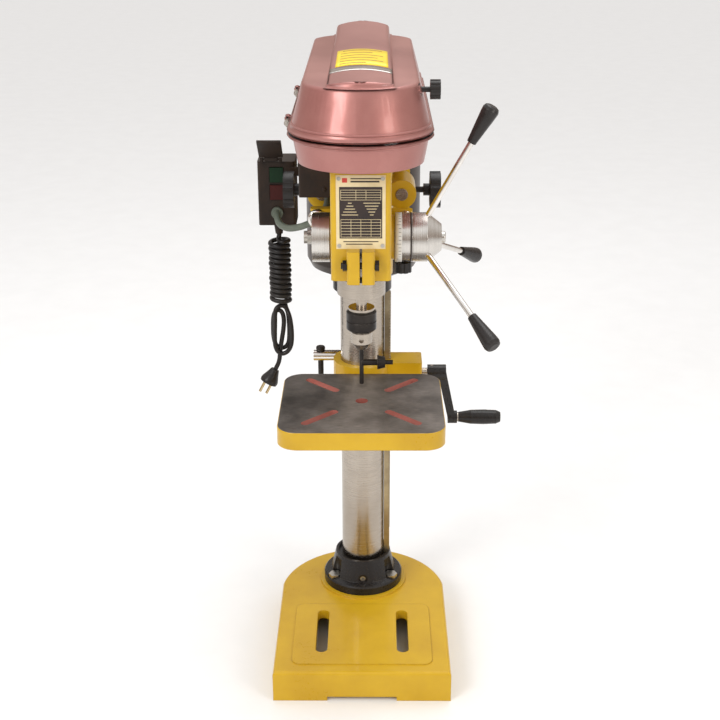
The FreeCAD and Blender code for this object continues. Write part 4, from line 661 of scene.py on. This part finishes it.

# %% [markdown]
# ## Printed plates
# The plate on the front of the head holds a chart of speeds, and the cover has two strips: a printed label
# and a silver strip, which is a painted highlight for the step edge of the lid. The words are left out: bars
# and boxes stand where the lines of a chart would be. Each is a thin block, standing a hair above its plate.

# %% Block helper
def blocks(name, body, material, boxes):
    shape = bmesh.new()
    for low, high in boxes:
        low, high = Vector(low) * MM, Vector(high) * MM
        size = high - low
        matrix = Matrix.Translation((low + high) / 2) @ Matrix.Diagonal((*size, 1))
        bmesh.ops.create_cube(shape, size=1, matrix=matrix)
    fix(show(name, to_mesh(name, shape, material)), body)


# %% [markdown]
# ## The speed chart
# A ruled table below, a ruled table above, and two stepped cones of bars between them for the pulleys.
# All of it is made of thin blocks, listed by their corners in millimetres.

# %% Speed chart
FACE = -173.8
PRINT, SUNK, RULE, ROW = 0.2, 0.05, 0.45, 3.6
LOWER_TABLE, UPPER_TABLE = (618.5, 640.5), (664, 676.4)


def bars(x_low, x_high, heights, thick):
    return [((x_low, FACE - PRINT, z), (x_high, FACE - SUNK, z + thick)) for z in heights]


def posts(places, low, high):
    return [((x, FACE - PRINT, low), (x + RULE, FACE - 0.1, high)) for x in places]


blocks("chart_ground", "stand", dark_print,
       [((-25.5, FACE - 0.12, 617), (25.5, FACE, 680))])
rows = [LOWER_TABLE[0] + ROW * k for k in range(7)] + [UPPER_TABLE[0] + 3.0 * k for k in range(5)]
lines = bars(-24, 24, rows, RULE)
lines += posts((-24, -12, -0.2, 12, 23.6), *LOWER_TABLE)
lines += posts((-24, -6, 6, 23.6), *UPPER_TABLE)
for k in range(5):
    half = 2.2 + 1.9 * k
    lines += bars(-13 - half, -13 + half, [660 - ROW * k], 0.8)
    lines += bars(13 - half, 13 + half, [645.6 + ROW * k], 0.8)
blocks("chart_lines", "stand", cream, lines)
words = bars(-12, 24, [689.2], 1.3) + bars(-12, 22, [685.4], 1.9) + bars(-21, 21, [612.6], 1.1)
words += bars(-18, 14, [609.4], 1.1)
blocks("chart_bars", "stand", dark_print, words)
blocks("chart_mark", "stand", red_print,
       [((-22, FACE - PRINT, 685.2), (-16, FACE - SUNK, 690.6))])

# %% [markdown]
# ## The depth scale
# The ring is turned from bar. A white band carries forty lines, and a dark seal closes its outer edge.
# Each band is an open tube, given a wall by a Solidify modifier, and it turns with the ring.

# %% Depth bands
WALL = 0.06
feed = Vector((0, -102.5, 598)) * MM


def thicken(piece, depth):
    wall = piece.modifiers.new("wall", "SOLIDIFY")
    wall.thickness, wall.offset = depth * MM, -1


def hoop(name, body, material, low, high, radius):
    shape = bmesh.new()
    middle = feed + Vector(((low + high) / 2, 0, 0)) * MM
    place = Matrix.Translation(middle) @ Matrix.Rotation(radians(90), 4, "Y")
    bmesh.ops.create_cone(shape, cap_ends=False, segments=96, radius1=radius * MM, radius2=radius * MM,
                          depth=(high - low) * MM, matrix=place)
    for face in shape.faces:
        face.smooth = True
    piece = show(name, to_mesh(name, shape, material))
    thicken(piece, WALL)
    fix(piece, body)


hoop("depth_band", "depth_scale", white_print, 42.2, 50.5, 31.08)
hoop("depth_seal", "depth_scale", dark_print, 60.6, 62.8, 31.06)

# %% [markdown]
# ## The lines of the scale
# Forty small blocks are set round the band, every fifth one longer. They go into one mesh, because
# forty objects would only make the scene slower.

# %% Depth lines
LINES, EVERY, LONG, SHORT = 40, 5, 5.6, 3.2
LINE_START, LINE_RADIUS = 49.3, 31.1
shape = bmesh.new()
for k in range(LINES):
    long = LONG if k % EVERY == 0 else SHORT
    size = Matrix.Diagonal((long * MM, 0.5 * MM, 0.2 * MM, 1))
    turn = Matrix.Rotation(2 * pi * k / LINES, 4, "X")
    at = Matrix.Translation(Vector((LINE_START - long / 2, 0, LINE_RADIUS)) * MM)
    bmesh.ops.create_cube(shape, size=1, matrix=Matrix.Translation(feed) @ turn @ at @ size)
fix(show("depth_ticks", to_mesh("depth_ticks", shape, dark_print)), "depth_scale")

# %% [markdown]
# ## The cover labels
# The raised band of the cover rises to the rear and is gently arched, so a label can't be a flat card.
# A grid is bent to the band's own height, point by point, and then given the thickness of foil.

# %% Cover labels
BAND_FRONT, BAND_BACK, BAND_HALF = 204, 285, 38
BAND_HEIGHT, BAND_RISE, BAND_ARCH = 807, 11, 5
FOIL, LINE_GAP = 0.3, 18


def band_height(x, y):
    rise = (y + BAND_FRONT) / (BAND_BACK + BAND_FRONT)
    return BAND_HEIGHT + BAND_RISE * rise - BAND_ARCH * (x / BAND_HALF) ** 2


def label(name, material, x_low, x_high, y_low, y_high, lift=0.35):
    shape = bmesh.new()
    bmesh.ops.create_grid(shape, x_segments=24, y_segments=4, size=0.5)
    for vert in shape.verts:
        x = x_low + (vert.co.x + 0.5) * (x_high - x_low)
        y = y_low + (vert.co.y + 0.5) * (y_high - y_low)
        vert.co = Vector((x, y, band_height(x, y) + lift)) * MM
    for face in shape.faces:
        face.smooth = True
    piece = show(name, to_mesh(name, shape, material))
    thicken(piece, FOIL)
    fix(piece, "cover_lid")


label("cover_label", yellow_print, -31, 33, -92, 22)
# The silver strip stands where the lid's step edge shows a highlight, so it is a painted highlight.
label("cover_highlight_strip", highlight_foil, -37, 37, -126, -97)
ends = [(-24, 26), (-26, 14), (-26, 27), (-26, 20), (-26, 27), (-26, 6)]
for k, (low, high) in enumerate(ends):
    label(f"label_line_{k + 1}", ink, low, high, 10 - LINE_GAP * k, 13.5 - LINE_GAP * k, lift=0.45)

# %% [markdown]
# ## The stage
# A pale floor runs out to the horizon. It is one large face, with a plain dull finish, so that nothing
# on it draws the eye.

# %% Floor
shape = bmesh.new()
bmesh.ops.create_grid(shape, x_segments=1, y_segments=1, size=40)
pale = finish("pale floor", (0.86, 0.86, 0.86), (0.84, 0.84, 0.84), rough=(0.6, 0.7))
floor = show("floor", to_mesh("floor", shape, pale))
print("floor of", round(floor.dimensions.x), "m")

# %% [markdown]
# ## The lamps
# Three wide discs light the press: one high on the left for the shape, a weaker and warmer one on the
# right to open the shadows, and one above and behind for the edge of the cover. A wide lamp gives a
# soft shadow and a broad highlight, as a studio does.

# %% Lamps
def lamp(name, place, aim, size, watts, colour=(1, 1, 1)):
    light = bpy.data.lights.new(name, "AREA")
    light.shape, light.size, light.energy, light.color = "DISK", size, watts, colour
    way = Vector(aim) - Vector(place)
    turn = way.to_track_quat("-Z", "Y").to_matrix().to_4x4()
    show(name, light).matrix_world = Matrix.Translation(place) @ turn


lamp("key", (-1.5, -1.9, 1.9), (0, 0, 0.5), 1.1, 30)
lamp("fill", (1.7, -1.7, 1.1), (0, 0, 0.45), 0.9, 13, (1, 0.96, 0.91))
lamp("top", (0.2, 0.6, 2.4), (0, 0, 0.5), 1.4, 14)
print(len(bpy.data.lights), "lamps")

# %% [markdown]
# ## The room
# Polished steel shows whatever stands round it. A room that is white all over would wash it out, so the
# room is bright overhead, and warm and dim at eye level: that draws dark lines down the column.

# %% Room
ROOM_STRENGTH = 1.12
world = bpy.data.worlds.new("studio room")
world.use_nodes = True
tree = world.node_tree
way = add(tree, "ShaderNodeTexCoord").outputs["Generated"]
upward = add(tree, "ShaderNodeSeparateXYZ")
room = add(tree, "ShaderNodeValToRGB")
low, high = room.color_ramp.elements
low.position, low.color = 0.0, (0.26, 0.19, 0.15, 1)
high.position, high.color = 0.75, (1.0, 1.0, 1.0, 1)
middle = room.color_ramp.elements.new(0.30)
middle.color = (0.50, 0.45, 0.41, 1)
wire(tree, way, upward.inputs["Vector"])
wire(tree, upward.outputs["Z"], room.inputs["Fac"])
wire(tree, room.outputs["Color"], tree.nodes["Background"].inputs["Color"])
tree.nodes["Background"].inputs["Strength"].default_value = ROOM_STRENGTH
bpy.context.scene.world = world
print("room at", ROOM_STRENGTH)
